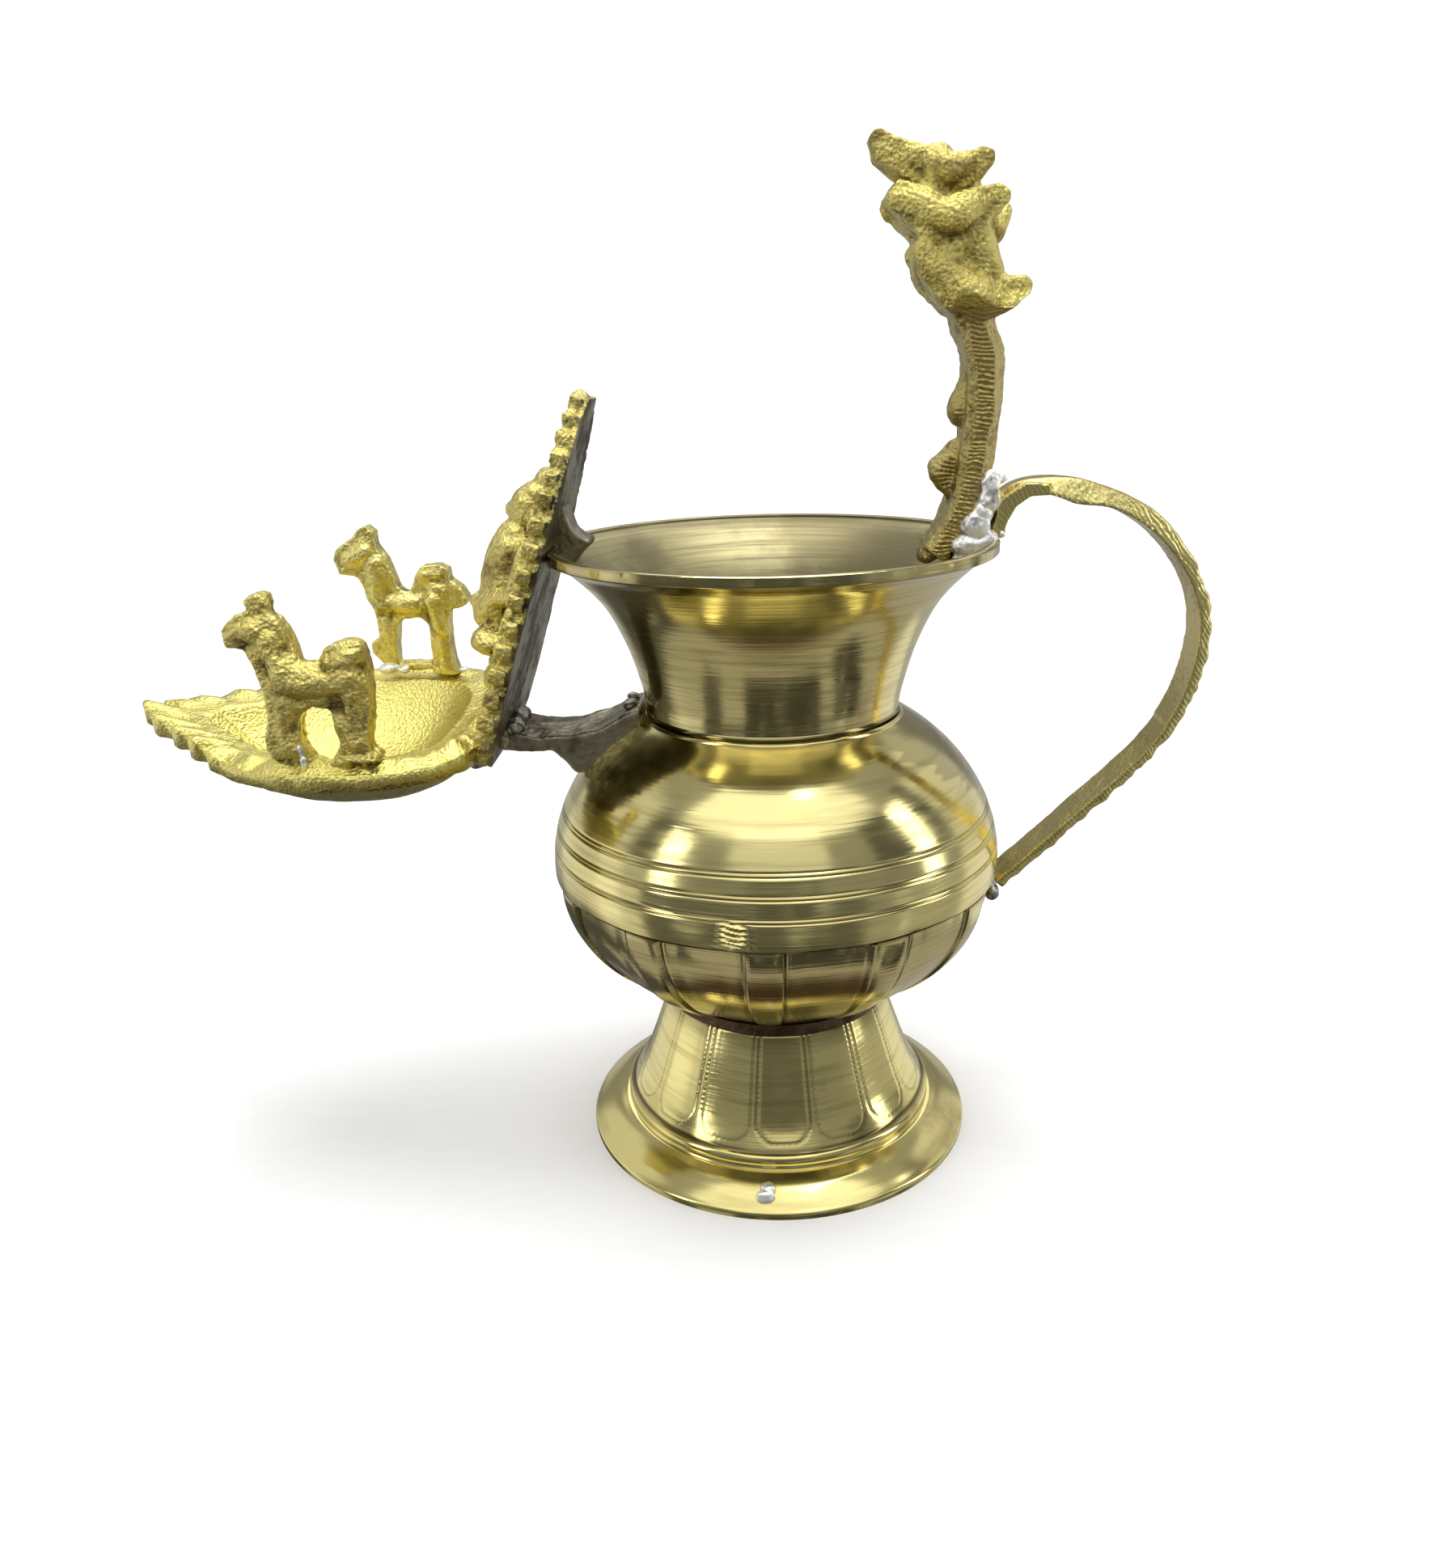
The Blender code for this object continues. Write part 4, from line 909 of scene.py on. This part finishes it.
def plaque_shapes():
    shapes = [stem_shape(), slab(LOW_HOOD, -8.2, 8.2), slab(MIDDLE_HOOD, -9.0, 9.0),
              slab(TOP_HOOD, -6.0, 6.0)]
    for side in (-1, 1):
        for rolls in (((25.4, 7.6, 162.0), 2.3, (32.8, 8.2, 155.0), 3.0, (41.4, 5.4, 156.4), 1.7),
                      ((21.2, 7.8, 169.6), 2.2, (29.6, 9.2, 166.8), 3.1, (37.4, 6.4, 170.0), 1.6),
                      ((17.8, 3.6, 178.9), 1.3, (28.8, 6.0, 173.8), 2.4, (35.2, 4.2, 175.6), 1.3)):
            a, ra, b, rb, c, rc = rolls
            a, b, c = ((x, side * y, z) for x, y, z in (a, b, c))
            shapes += limb(a, b, ra, rb, 0.9) + limb(b, c, rb, rc, 0.9)
        shapes += limb((35.6, side * 5.6, 158.0), (32.4, side * 6.4, 166.0), 2.9, 3.2)
        shapes += limb((29.4, side * 5.8, 165.0), (29.0, side * 6.4, 160.6), 3.4, 3.2)
        shapes += limb((27.0, side * 5.4, 168.0), (25.6, side * 4.0, 174.0), 3.0, 2.4)
    shapes += limb((34.4, 0, 157), (30.4, 0, 170), 4.6, 4.8, 1.25)
    shapes += limb((29.0, 0, 170), (27.5, 0, 176), 4.4, 2.8, 1.4)
    shapes += limb((37.4, 4.0, 165.8), (39.2, 5.5, 168.4), 2.4, 1.6, 1.3)
    shapes += limb((34.2, 0, 141.4), (33.2, 0, 137.4), 2.1, 3.1, 1.15)
    shapes += limb((33.0, 0, 130.4), (29.8, 0, 127.4), 2.4, 2.5, 1.15)
    shapes += limb((29.6, 0, 127.0), (32.0, 0, 124.4), 2.2, 2.2, 1.3)
    shapes += limb((31.4, 0, 118.0), (27.6, 0, 112.8), 2.2, 1.8, 2.4)
    return shapes


def shape_plaque(points):
    """Draw the tips of the hoods in, and file the stem's near and far sides flat."""
    x, y, z = points.T
    hood = np.clip((z - 152) / 4, 0, 1)
    reach = np.clip(np.abs(x - 31) / 14, 0, 1)
    y = y * (1 - 0.45 * hood * reach ** 1.5)
    half = np.interp(z, [112, 128, 145, 151, 153, 158], [5.2, 6.0, 6.6, 6.9, 8.0, 14.0])
    points[:, 1] = np.clip(y, -half, half)
    points[:, 2] = np.minimum(z, 180.2)
    return points


plaque_brass = cast_brass("plaque_brass", (0.50, 0.41, 0.15), (0.26, 0.20, 0.08), 0.18, 1500.0, 0.00022,
                          (0.24, 0.38), (0.12, 0.0, 1.0), (0.50, 0.40, 0.15), 0.42)
serpent_plaque = cast("hooded_plaque", plaque_shapes(), 0.34, plaque_brass, relax=3, grain=0.11,
                      swell=0.34, seed=3, dress=shape_plaque)
hood_brass = cast_brass("hood_brass", (0.78, 0.67, 0.21), (0.32, 0.24, 0.08), 0.20, 1500.0, 0.00030,
                        (0.26, 0.38))
serpent_plaque.data.materials.append(hood_brass)
for face in serpent_plaque.data.polygons:
    if face.center.z > 0.1535:
        face.material_index = 1
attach(serpent_plaque, "root")
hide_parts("serpent_plaque")


# ---- Lamp dish ------------------------------------------------------------------------------
# A leaf-shaped oil dish, cast thin. Its pointed end is pressed into blunt ribs like a shell, the
# near rim is crumpled, and the hollow was scraped smooth and bright.
DISH_CENTRE = (-77.0, 0.0)
DISH_EDGE = [(-118.6, 0.0), (-118.2, 2.6), (-114.4, 6.4), (-108.0, 11.6), (-99.0, 19.4), (-89.0, 25.4),
             (-78.0, 27.8), (-67.0, 27.4), (-58.6, 24.6), (-53.2, 18.8), (-51.4, 11.0), (-51.2, 0.0)]
DISH_RIM_Z, DISH_ROLL, DISH_DEPTH, HOLLOW = 84.5, 0.11, 11.5, 0.74


def dish_reach(angles):
    """Distance from the dish's centre to its edge, at angles in radians."""
    half = smooth_line(DISH_EDGE, 8)
    outline = np.array(half + [(x, -y) for x, y in half[-2:0:-1]])
    dx, dy = outline[:, 0] - DISH_CENTRE[0], outline[:, 1] - DISH_CENTRE[1]
    turn, far = np.arctan2(dy, dx), np.hypot(dx, dy)
    order = np.argsort(turn)
    return np.interp(angles, turn[order], far[order], period=2 * pi)


def dish_shape():
    """Top and underside as two skins that meet round the lip. t runs from the middle to the lip."""
    around, across, under = 600, 84, 40
    a = np.arange(around) * 2 * pi / around - pi
    reach = dish_reach(a)
    turn = (a + 2 * pi) % (2 * pi) - pi
    fan = np.exp(-((turn - 0.32) / 0.46) ** 6)
    far_fan = np.exp(-((turn + 0.35) / 0.40) ** 4)
    ribs = np.tanh(2.2 * np.cos((turn - 0.02) * 2 * pi / (0.135 + 0.06 * np.clip(turn, 0, 1)))) / 0.98
    near = np.clip(-np.sin(a) * 2.2, 0, 1) * (1 - 0.8 * fan)
    ring = np.stack([np.cos(a) * 27, np.sin(a) * 27, np.zeros(around)], -1)
    crumple = lumps(ring, 5.0, 5) + 0.7 * lumps(ring, 2.4, 6)
    reach = reach - 0.9 + fan * 0.75 * ribs + near * (0.35 * crumple + 0.5)
    rows = []
    for t in np.linspace(0.012, 1, across):
        x, y = DISH_CENTRE[0] + np.cos(a) * reach * t, np.sin(a) * reach * t
        z = DISH_RIM_Z + DISH_ROLL * y + 2 * np.clip((-95 - x) / 24, 0, 1) ** 1.3
        z -= DISH_DEPTH * (1 - np.minimum(t / (HOLLOW - 0.03 * near), 1) ** 2.6)
        z += fan * (1.1 * ribs * np.clip((t - 0.80) / 0.16, 0, 1) + 0.9 * np.clip((t - 0.66) / 0.3, 0, 1))
        z += far_fan * 0.5 * np.cos(turn * 2 * pi / 0.2) * np.clip((t - 0.72) / 0.28, 0, 1)
        z += near * np.exp(-((t - 0.885) / 0.085) ** 2) * (1.9 + 1.3 * crumple)
        z += (1 - near) * (1 - fan) * 0.5 * np.exp(-((t - 0.93) / 0.06) ** 2)
        rows.append(np.stack([x, y, z], -1))
    for t in np.linspace(1, 0.02, under):
        thick = 1.8 + 0.9 * near
        x = DISH_CENTRE[0] + np.cos(a) * (reach - 0.25) * t
        y = np.sin(a) * (reach - 0.25) * t
        z = DISH_RIM_Z + DISH_ROLL * y + 2 * np.clip((-95 - x) / 24, 0, 1) ** 1.3 - thick
        z -= (DISH_DEPTH - 1.2) * (1 - np.minimum(t / (HOLLOW + 0.22), 1) ** 2.2)
        rows.append(np.stack([x, y, z], -1))
    verts = np.array(rows).reshape(-1, 3)
    count = len(rows)
    faces = [(i * around + j, i * around + (j + 1) % around, (i + 1) * around + (j + 1) % around,
              (i + 1) * around + j) for i in range(count - 1) for j in range(around)]
    faces.append(tuple(range(around))[::-1])
    faces.append(tuple(range((count - 1) * around, count * around)))
    shift = np.stack([np.zeros(len(verts)), np.zeros(len(verts)),
                      0.10 * lumps(verts, 1.1, 7) + 0.14 * lumps(verts, 2.6, 8)], -1)
    t_of = np.repeat(np.concatenate([np.linspace(0, 1, across), np.linspace(1, 0, under)]), around)
    verts += shift * np.clip((t_of - 0.66) / 0.12, 0.15, 1)[:, None]
    return verts, faces


dish_brass = cast_brass("dish_brass", (0.78, 0.69, 0.21), (0.52, 0.42, 0.13), 0.13, 1700.0, 0.00016,
                        (0.24, 0.36))
lamp_dish = add_object("lamp_dish", *dish_shape(), dish_brass)
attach(lamp_dish, "root")
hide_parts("lamp_dish")


# ---- Two little horses ----------------------------------------------------------------------
# Small solid castings that stand on the dish's lip, one on each side, and look towards its tip.
# Their wax models were rolled and pinched by hand, so no two parts are quite alike.
NEAR_HORSE = [(0.0, 23.5), (0.9, 20.9), (3.4, 19.8), (4.8, 17.9), (5.3, 14.5), (6.3, 11.2), (6.1, 7.8),
              (4.9, 4.8), (5.3, 1.5), (7.2, -0.3), (13.3, -0.5), (11.8, 1.5), (10.6, 3.9), (11.0, 6.8),
              (11.8, 9.5), (13.8, 10.7), (16.3, 9.7), (17.5, 7.3), (17.4, 3.9), (16.0, 1.2),
              (15.0, -0.6), (22.6, -0.6), (22.4, 4.8), (23.4, 9.7), (23.6, 15.5), (23.4, 20.6),
              (22.2, 21.3), (19.9, 21.1), (17.5, 20.2), (15.2, 18.0), (12.5, 17.8), (11.6, 19.9),
              (10.7, 22.8), (9.5, 25.2), (8.2, 26.4), (8.7, 27.7), (8.0, 29.2), (6.3, 29.5),
              (4.9, 28.4), (5.3, 26.6), (3.2, 25.8), (1.1, 25.0)]
FAR_HORSE = [(0.0, 23.1), (1.0, 20.4), (4.3, 19.6), (5.4, 18.2), (6.0, 15.0), (7.2, 12.5), (7.6, 7.5),
             (5.8, 6.3), (5.8, 4.2), (8.6, 1.0), (10.6, 1.0), (11.2, 6.5), (11.4, 10.0), (13.0, 11.2),
             (16.0, 11.2), (17.6, 9.8), (18.0, 6.0), (17.8, -0.5), (23.0, -0.5), (22.0, 3.0),
             (22.0, 10.0), (22.5, 12.8), (25.2, 13.6), (26.3, 14.8), (24.8, 17.2), (23.0, 18.8),
             (22.9, 21.0), (21.0, 22.0), (17.5, 21.6), (16.0, 19.2), (15.0, 16.8), (13.5, 16.6),
             (12.2, 18.0), (11.4, 21.0), (9.9, 24.0), (9.0, 26.0), (8.8, 28.5), (7.2, 29.8),
             (5.6, 29.0), (4.6, 27.3), (2.6, 26.2), (0.6, 24.8)]


def horse_shapes(outline, x, y, z, rolls):
    """A flat cut-out of the horse, filled out on both sides with rolls of wax."""
    shapes = [slab([(x + dx, z + dz) for dx, dz in outline], y - 2.1, y + 2.1)]
    for (ax, az), (bx, bz), thick, thin, wide in rolls:
        shapes += limb((x + ax, y, z + az), (x + bx, y, z + bz), thick, thin, wide)
    return shapes


NEAR_ROLLS = [((1.8, 22.8), (5.6, 23.4), 1.9, 2.7, 1.3), ((6.8, 27.6), (6.8, 27.2), 1.9, 1.9, 1.2),
              ((8.2, 21.6), (9.8, 15.4), 2.6, 3.2, 1.35), ((9.8, 14.8), (20.6, 15.0), 3.3, 3.2, 1.25),
              ((18.0, 17.8), (21.4, 18.6), 2.2, 2.2, 1.7), ((20.8, 15.6), (20.2, 4.0), 2.6, 2.0, 1.5),
              ((9.4, 11.6), (8.6, 4.6), 2.1, 1.9, 1.8), ((8.6, 3.8), (12.0, 0.8), 1.7, 1.0, 2.0),
              ((18.6, 1.0), (23.0, 1.0), 1.2, 1.3, 2.6)]
FAR_ROLLS = [((1.9, 22.8), (6.4, 24.0), 2.0, 3.1, 1.1), ((7.2, 28.2), (6.6, 26.0), 1.4, 2.1, 1.2),
             ((8.2, 22.0), (8.8, 14.6), 2.9, 2.7, 1.2), ((9.0, 14.0), (20.0, 14.0), 2.6, 2.7, 1.3),
             ((18.4, 19.6), (20.8, 19.8), 2.0, 2.0, 1.4), ((20.0, 17.0), (24.6, 15.0), 2.6, 1.2, 1.2),
             ((19.2, 14.6), (20.2, 9.0), 2.6, 2.0, 1.7), ((9.3, 11.0), (9.2, 6.0), 2.0, 1.9, 1.3),
             ((7.2, 5.2), (9.4, 2.0), 1.4, 1.5, 1.6), ((20.0, 8.0), (20.4, 1.2), 2.0, 2.2, 1.3),
             ((9.6, 1.2), (20.0, 1.2), 1.0, 1.1, 1.6)]
# Two copies of the horse brass: the far horse's copy is lighter and less stained and the near horse's is
# darker, painted light and shade for where each stands.
horse_brass = cast_brass("horse_brass", (0.76, 0.65, 0.21), (0.34, 0.26, 0.09), 0.19, 1500.0, 0.00026,
                         (0.24, 0.38))
far_horse_lit_brass = cast_brass("far_horse_lit_brass", (0.80, 0.70, 0.24), (0.52, 0.42, 0.14), 0.14, 1500.0,
                             0.00016, (0.26, 0.38))
near_horse = cast("near_horse", horse_shapes(NEAR_HORSE, -90.4, -23.6, 83.0, NEAR_ROLLS), 0.30,
                  horse_brass, relax=4, grain=0.13, swell=0.50, seed=31)
far_horse = cast("far_horse", horse_shapes(FAR_HORSE, -86.8, 22.4, 87.9, FAR_ROLLS), 0.30,
                 far_horse_lit_brass, relax=4, grain=0.07, swell=0.36, seed=37)
for horse, place in ((near_horse, "near_horse"), (far_horse, "far_horse")):
    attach(horse, "root")
    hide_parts(place)


# ---- Back plate -----------------------------------------------------------------------------
# A pointed plate cast in relief, with a beaded border round a small seated figure of no one in
# particular. Its back was left flat and has gone dark. It stands on the dish and leans on the rim.
PLATE_THICK = 2.8


def on_plate(y, s, d):
    """A place on the plate: across, up along it, and out in front of its back face."""
    return (PLATE_FOOT[0] + s * sin(PLATE_LEAN) - d * cos(PLATE_LEAN), y,
            PLATE_FOOT[1] + s * cos(PLATE_LEAN) + d * sin(PLATE_LEAN))


def plate_half_width(s):
    low = (17 + 1.5 * sin(pi * min(s / 34, 1))) * (0.78 + 0.22 * min(s / 7, 1))
    return low if s < 22 else low * max(0.0, 1 - ((s - 22) / 45.6) ** 2.2) ** 0.5


def plate_blank():
    """The plate without its relief."""
    side = [(plate_half_width(s) - 0.6, s) for s in np.linspace(0.3, 66.0, 60)]
    outline = side + [(-y, s) for y, s in side[::-1]]
    n = len(outline)
    verts = [on_plate(y, s, 0.0) for y, s in outline] + [on_plate(y, s, PLATE_THICK) for y, s in outline]
    faces = [tuple(range(n)), tuple(range(2 * n - 1, n - 1, -1))]
    faces += [(i, i + n, (i + 1) % n + n, (i + 1) % n) for i in range(n)]
    return verts, faces


def bead(y, s, d, across, along, out):
    """One lump of the relief, squared up with the plate."""
    return ball(on_plate(y, s, d), (out, across, along), degrees(PLATE_LEAN))


def block(y, s, d, across, along, out):
    """One square lump of the border, given by its middle and half sizes."""
    corners = [(p, q, r) for r in (-out, out) for q in (-along, along) for p in (-across, across)]
    verts = [on_plate(y + p, s + q, d + r) for p, q, r in corners]
    return verts, [(0, 1, 3, 2), (4, 6, 7, 5), (0, 4, 5, 1), (1, 5, 7, 3), (3, 7, 6, 2), (2, 6, 4, 0)]


def plate_shapes():
    shapes = [plate_blank()]
    run, place, pitch = 0.0, 1.6, 4.3
    stations = np.linspace(0.5, 65.6, 400)
    before = (plate_half_width(stations[0]), stations[0])
    for s in stations:
        y = plate_half_width(s)
        run += sqrt((y - before[0]) ** 2 + (s - before[1]) ** 2)
        before = (y, s)
        if run >= place:
            pitch = 4.4 if s < 45 else 3.6
            place += pitch
            size = 1.0 if s < 52 else 0.8
            for side in (-1, 1):
                edge = side * max(y - 1.5, 0.3)
                shapes.append(block(edge, s, 2.2, 1.9 * size, 1.30 * size, 1.55 * size))
    shapes.append(bead(0, 64.6, 2.0, 1.8, 2.3, 1.9))
    shapes += [bead(0, 44.6, 5.4, 4.4, 5.2, 4.4), bead(0, 50.2, 4.2, 2.6, 2.4, 2.4),
               bead(0, 48.0, 4.6, 4.6, 1.2, 3.6), bead(0, 43.8, 9.7, 0.8, 1.3, 0.8),
               bead(-4.4, 43.6, 3.6, 0.9, 2.0, 1.6), bead(4.4, 43.6, 3.6, 0.9, 2.0, 1.6)]
    shapes += [bead(0, 33.0, 6.8, 6.8, 10.4, 5.2), bead(0, 38.5, 6.4, 4.8, 3.8, 4.6),
               bead(0, 26.0, 7.0, 7.4, 5.4, 5.0), bead(0, 38.6, 3.6, 7.6, 2.6, 3.2),
               bead(0, 28.0, 4.8, 5.4, 3.6, 4.6), bead(0, 21.8, 4.6, 11.6, 3.4, 4.9),
               bead(-7.0, 21.2, 6.4, 4.2, 2.6, 3.6), bead(7.0, 21.2, 6.4, 4.2, 2.6, 3.6),
               bead(0, 14.2, 3.6, 10.6, 2.6, 3.4), bead(0, 17.0, 3.4, 8.6, 2.6, 3.4)]
    for side in (-1, 1):
        shapes += limb(on_plate(side * 7.2, 37.5, 3.8), on_plate(side * 8.6, 30.0, 4.4), 2.0, 1.7)
        shapes += limb(on_plate(side * 8.6, 30.0, 4.4), on_plate(side * 2.4, 26.4, 11.2), 1.7, 1.4)
        shapes += [bead(side * 11.6, 40.0 - 6 * k, 3.0, 1.3, 2.0, 1.4) for k in range(5)]
        shapes += limb(on_plate(side * 9.6, 46.0, 2.8), on_plate(side * 3.0, 55.0, 2.8), 1.3, 1.2)
    shapes.append(bead(0, 29, 2.4, 9.6, 17, 2.6))
    shapes += limb(on_plate(0, 54.0, 2.8), on_plate(0, 61.0, 2.4), 1.7, 1.3)
    return shapes


def flatten_back(points):
    """Keep the back face flat, and nothing behind it."""
    x, y, z = points.T
    front = -(x - PLATE_FOOT[0]) * cos(PLATE_LEAN) + (z - PLATE_FOOT[1]) * sin(PLATE_LEAN)
    lift = np.maximum(0.05 + 0.06 * lumps(points, 5.0, 43) - front, 0)
    points[:, 0] -= lift * cos(PLATE_LEAN)
    points[:, 2] += lift * sin(PLATE_LEAN)
    return points


plate_brass = cast_brass("plate_brass", (0.72, 0.62, 0.20), (0.32, 0.24, 0.08), 0.19, 1500.0, 0.00024,
                         (0.25, 0.40))
plate_back = cast_brass("plate_back", (0.25, 0.23, 0.165), (0.10, 0.09, 0.065), 0.28, 500.0, 0.00012,
                        (0.42, 0.60))
back_plate = cast("back_plate", plate_shapes(), 0.36, plate_brass, relax=2, grain=0.12, swell=0.24,
                  seed=41, dress=flatten_back)
back_plate.data.materials.append(plate_back)
back_way = Vector((cos(PLATE_LEAN), 0, -sin(PLATE_LEAN)))
for face in back_plate.data.polygons:
    if face.normal.dot(back_way) > 0.55:
        face.material_index = 1
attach(back_plate, "root")
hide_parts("back_plate")


# ---- Bracket and rim lug --------------------------------------------------------------------
# A flat cast bar that carries the dish from the shoulder, and a small lug between plate and rim.
# Both were left as cast, dark and grey with flux.
BAR_HALF_WIDTH = 7.4
BAR = [(-50.0, 81.9), (-47.0, 82.9), (-43.5, 82.1), (-37.0, 82.3), (-31.5, 83.4), (-26.4, 86.2),
       (-24.0, 87.0), (-24.0, 82.0), (-33.5, 75.2), (-36.2, 74.9), (-38.2, 77.2), (-40.6, 79.3),
       (-50.0, 79.5)]
LUG = [(-36.4, 123.8), (-35.4, 121.0), (-34.8, 119.0), (-33.2, 117.6), (-31.6, 116.9), (-31.8, 116.1),
       (-33.4, 114.8), (-35.0, 112.8), (-40.0, 112.0), (-41.4, 112.0), (-39.6, 120.0)]


dark_brass = cast_brass("bracket_brass", (0.40, 0.36, 0.25), (0.16, 0.14, 0.095), 0.26, 900.0, 0.00012,
                        (0.34, 0.52))
bracket = cast("bracket_bar", [slab(BAR, -BAR_HALF_WIDTH, BAR_HALF_WIDTH)], 0.36, dark_brass, relax=4,
               grain=0.07, swell=0.22, seed=51)
lug = cast("rim_lug", [slab(LUG, -3.6, 3.6)], 0.34, dark_brass, relax=5, grain=0.06, swell=0.20, seed=53)
for piece, place in ((bracket, "bracket_bar"), (lug, "rim_lug")):
    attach(piece, "root")
    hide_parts(place)


# ---- Solder ---------------------------------------------------------------------------------
# Soft grey-white tin run into each corner with an iron, left lumpy and pitted. The three rings
# inside the turned joints hardly show, so they stay plain and dull.
def tin(name, clean, dirty, cover, rough=(0.22, 0.45), metal=1.0):
    material = cast_brass(name, clean, dirty, cover, 900.0, 0.00016, rough)
    material.node_tree.nodes["Principled BSDF"].inputs["Metallic"].default_value = metal
    return material


bright_tin = tin("bright_tin", (0.95, 0.95, 0.92), (0.14, 0.12, 0.08), 0.19, (0.16, 0.40), metal=0.75)
grey_tin = tin("grey_tin", (0.42, 0.41, 0.38), (0.20, 0.18, 0.15), 0.22)
joint_tin = tin("joint_tin", (0.16, 0.10, 0.06), (0.08, 0.05, 0.03), 0.25, (0.5, 0.65))
for ring in ("solder_neck_ring", "solder_belly_ring", "solder_foot_ring"):
    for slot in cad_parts[ring].material_slots:
        slot.material = joint_tin

SOLDER = {
    "solder_plaque_root": (bright_tin, [
        ((34.2, -5.2, 114.8), (3.2, 1.9, 2.0)), ((37.4, -4.6, 115.4), (2.2, 2.0, 2.3)),
        ((35.2, -5.4, 118.4), (2.6, 1.5, 2.4)), ((37.2, -1.0, 114.8), (2.0, 3.4, 1.7)),
        ((36.8, 3.0, 115.4), (2.2, 2.6, 2.6)), ((36.4, -4.8, 120.6), (1.9, 1.7, 2.2)),
        ((33.4, -5.2, 112.9), (2.4, 1.5, 1.2))]),
    "solder_plaque_handle": (bright_tin, [
        ((37.6, -4.8, 125.2), (1.8, 1.5, 2.8)), ((37.2, -5.0, 122.4), (2.0, 1.4, 2.0)),
        ((38.4, 1.8, 124.0), (1.8, 2.8, 2.8)), ((38.6, -2.0, 122.6), (1.8, 2.8, 2.6)),
        ((39.6, -3.9, 126.0), (1.3, 1.0, 1.0))]),
    "solder_handle_rim": (bright_tin, [
        ((40.2, -3.4, 116.8), (1.0, 1.4, 0.9)), ((40.4, 1.6, 117.2), (1.1, 2.0, 1.1))]),
    "solder_handle_belly": (grey_tin, [
        ((41.6, -3.2, 48.6), (1.3, 1.8, 1.6)), ((42.0, 1.8, 48.2), (1.4, 2.4, 1.6))]),
    "solder_bracket_neck": (grey_tin, [
        ((-26.4, -2.0, 86.7), (1.5, 2.6, 0.9)), ((-26.2, 3.0, 86.9), (1.4, 2.2, 0.9))]),
    "solder_bracket_plate": (grey_tin, [
        ((-47.6, -4.8, 83.4), (1.9, 2.0, 1.8)), ((-47.8, 0.4, 83.9), (1.9, 3.4, 1.9)),
        ((-47.8, 4.6, 83.2), (1.8, 2.4, 1.7)), ((-49.6, -7.6, 82.0), (1.6, 1.4, 1.9))]),
    "solder_dish_plate": (grey_tin, [
        ((-54.0, -8.0, 78.3), (1.8, 3.0, 1.5)), ((-54.0, 0.0, 78.5), (1.6, 4.0, 1.3)),
        ((-54.0, 8.0, 78.8), (1.8, 3.0, 1.5))]),
    "solder_near_horse": (bright_tin, [
        ((-79.0, -26.6, 84.2), (0.8, 0.8, 1.3)), ((-79.6, -26.2, 86.2), (0.6, 0.6, 1.1))]),
    "solder_far_horse_front": (bright_tin, [
        ((-77.6, 20.0, 89.0), (2.2, 1.6, 1.2)), ((-74.8, 20.2, 88.7), (1.3, 1.2, 0.9))]),
    "solder_far_horse_rear": (bright_tin, [
        ((-62.6, 20.4, 88.4), (1.2, 1.2, 0.7))]),
    "foot_plug": (bright_tin, [
        ((-2.5, -35.6, 3.2), (1.9, 0.9, 1.5)), ((-1.9, -34.3, 4.3), (1.5, 1.3, 1.1))]),
}
for k, (place, (metal, blobs)) in enumerate(SOLDER.items()):
    voxel = 0.22 if len(blobs) < 3 else 0.28
    drop = cast(place, [ball(*blob) for blob in blobs], voxel, metal, relax=3, grain=0.10, swell=0.30,
                seed=60 + 4 * k)
    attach(drop, "root")
    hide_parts(place)
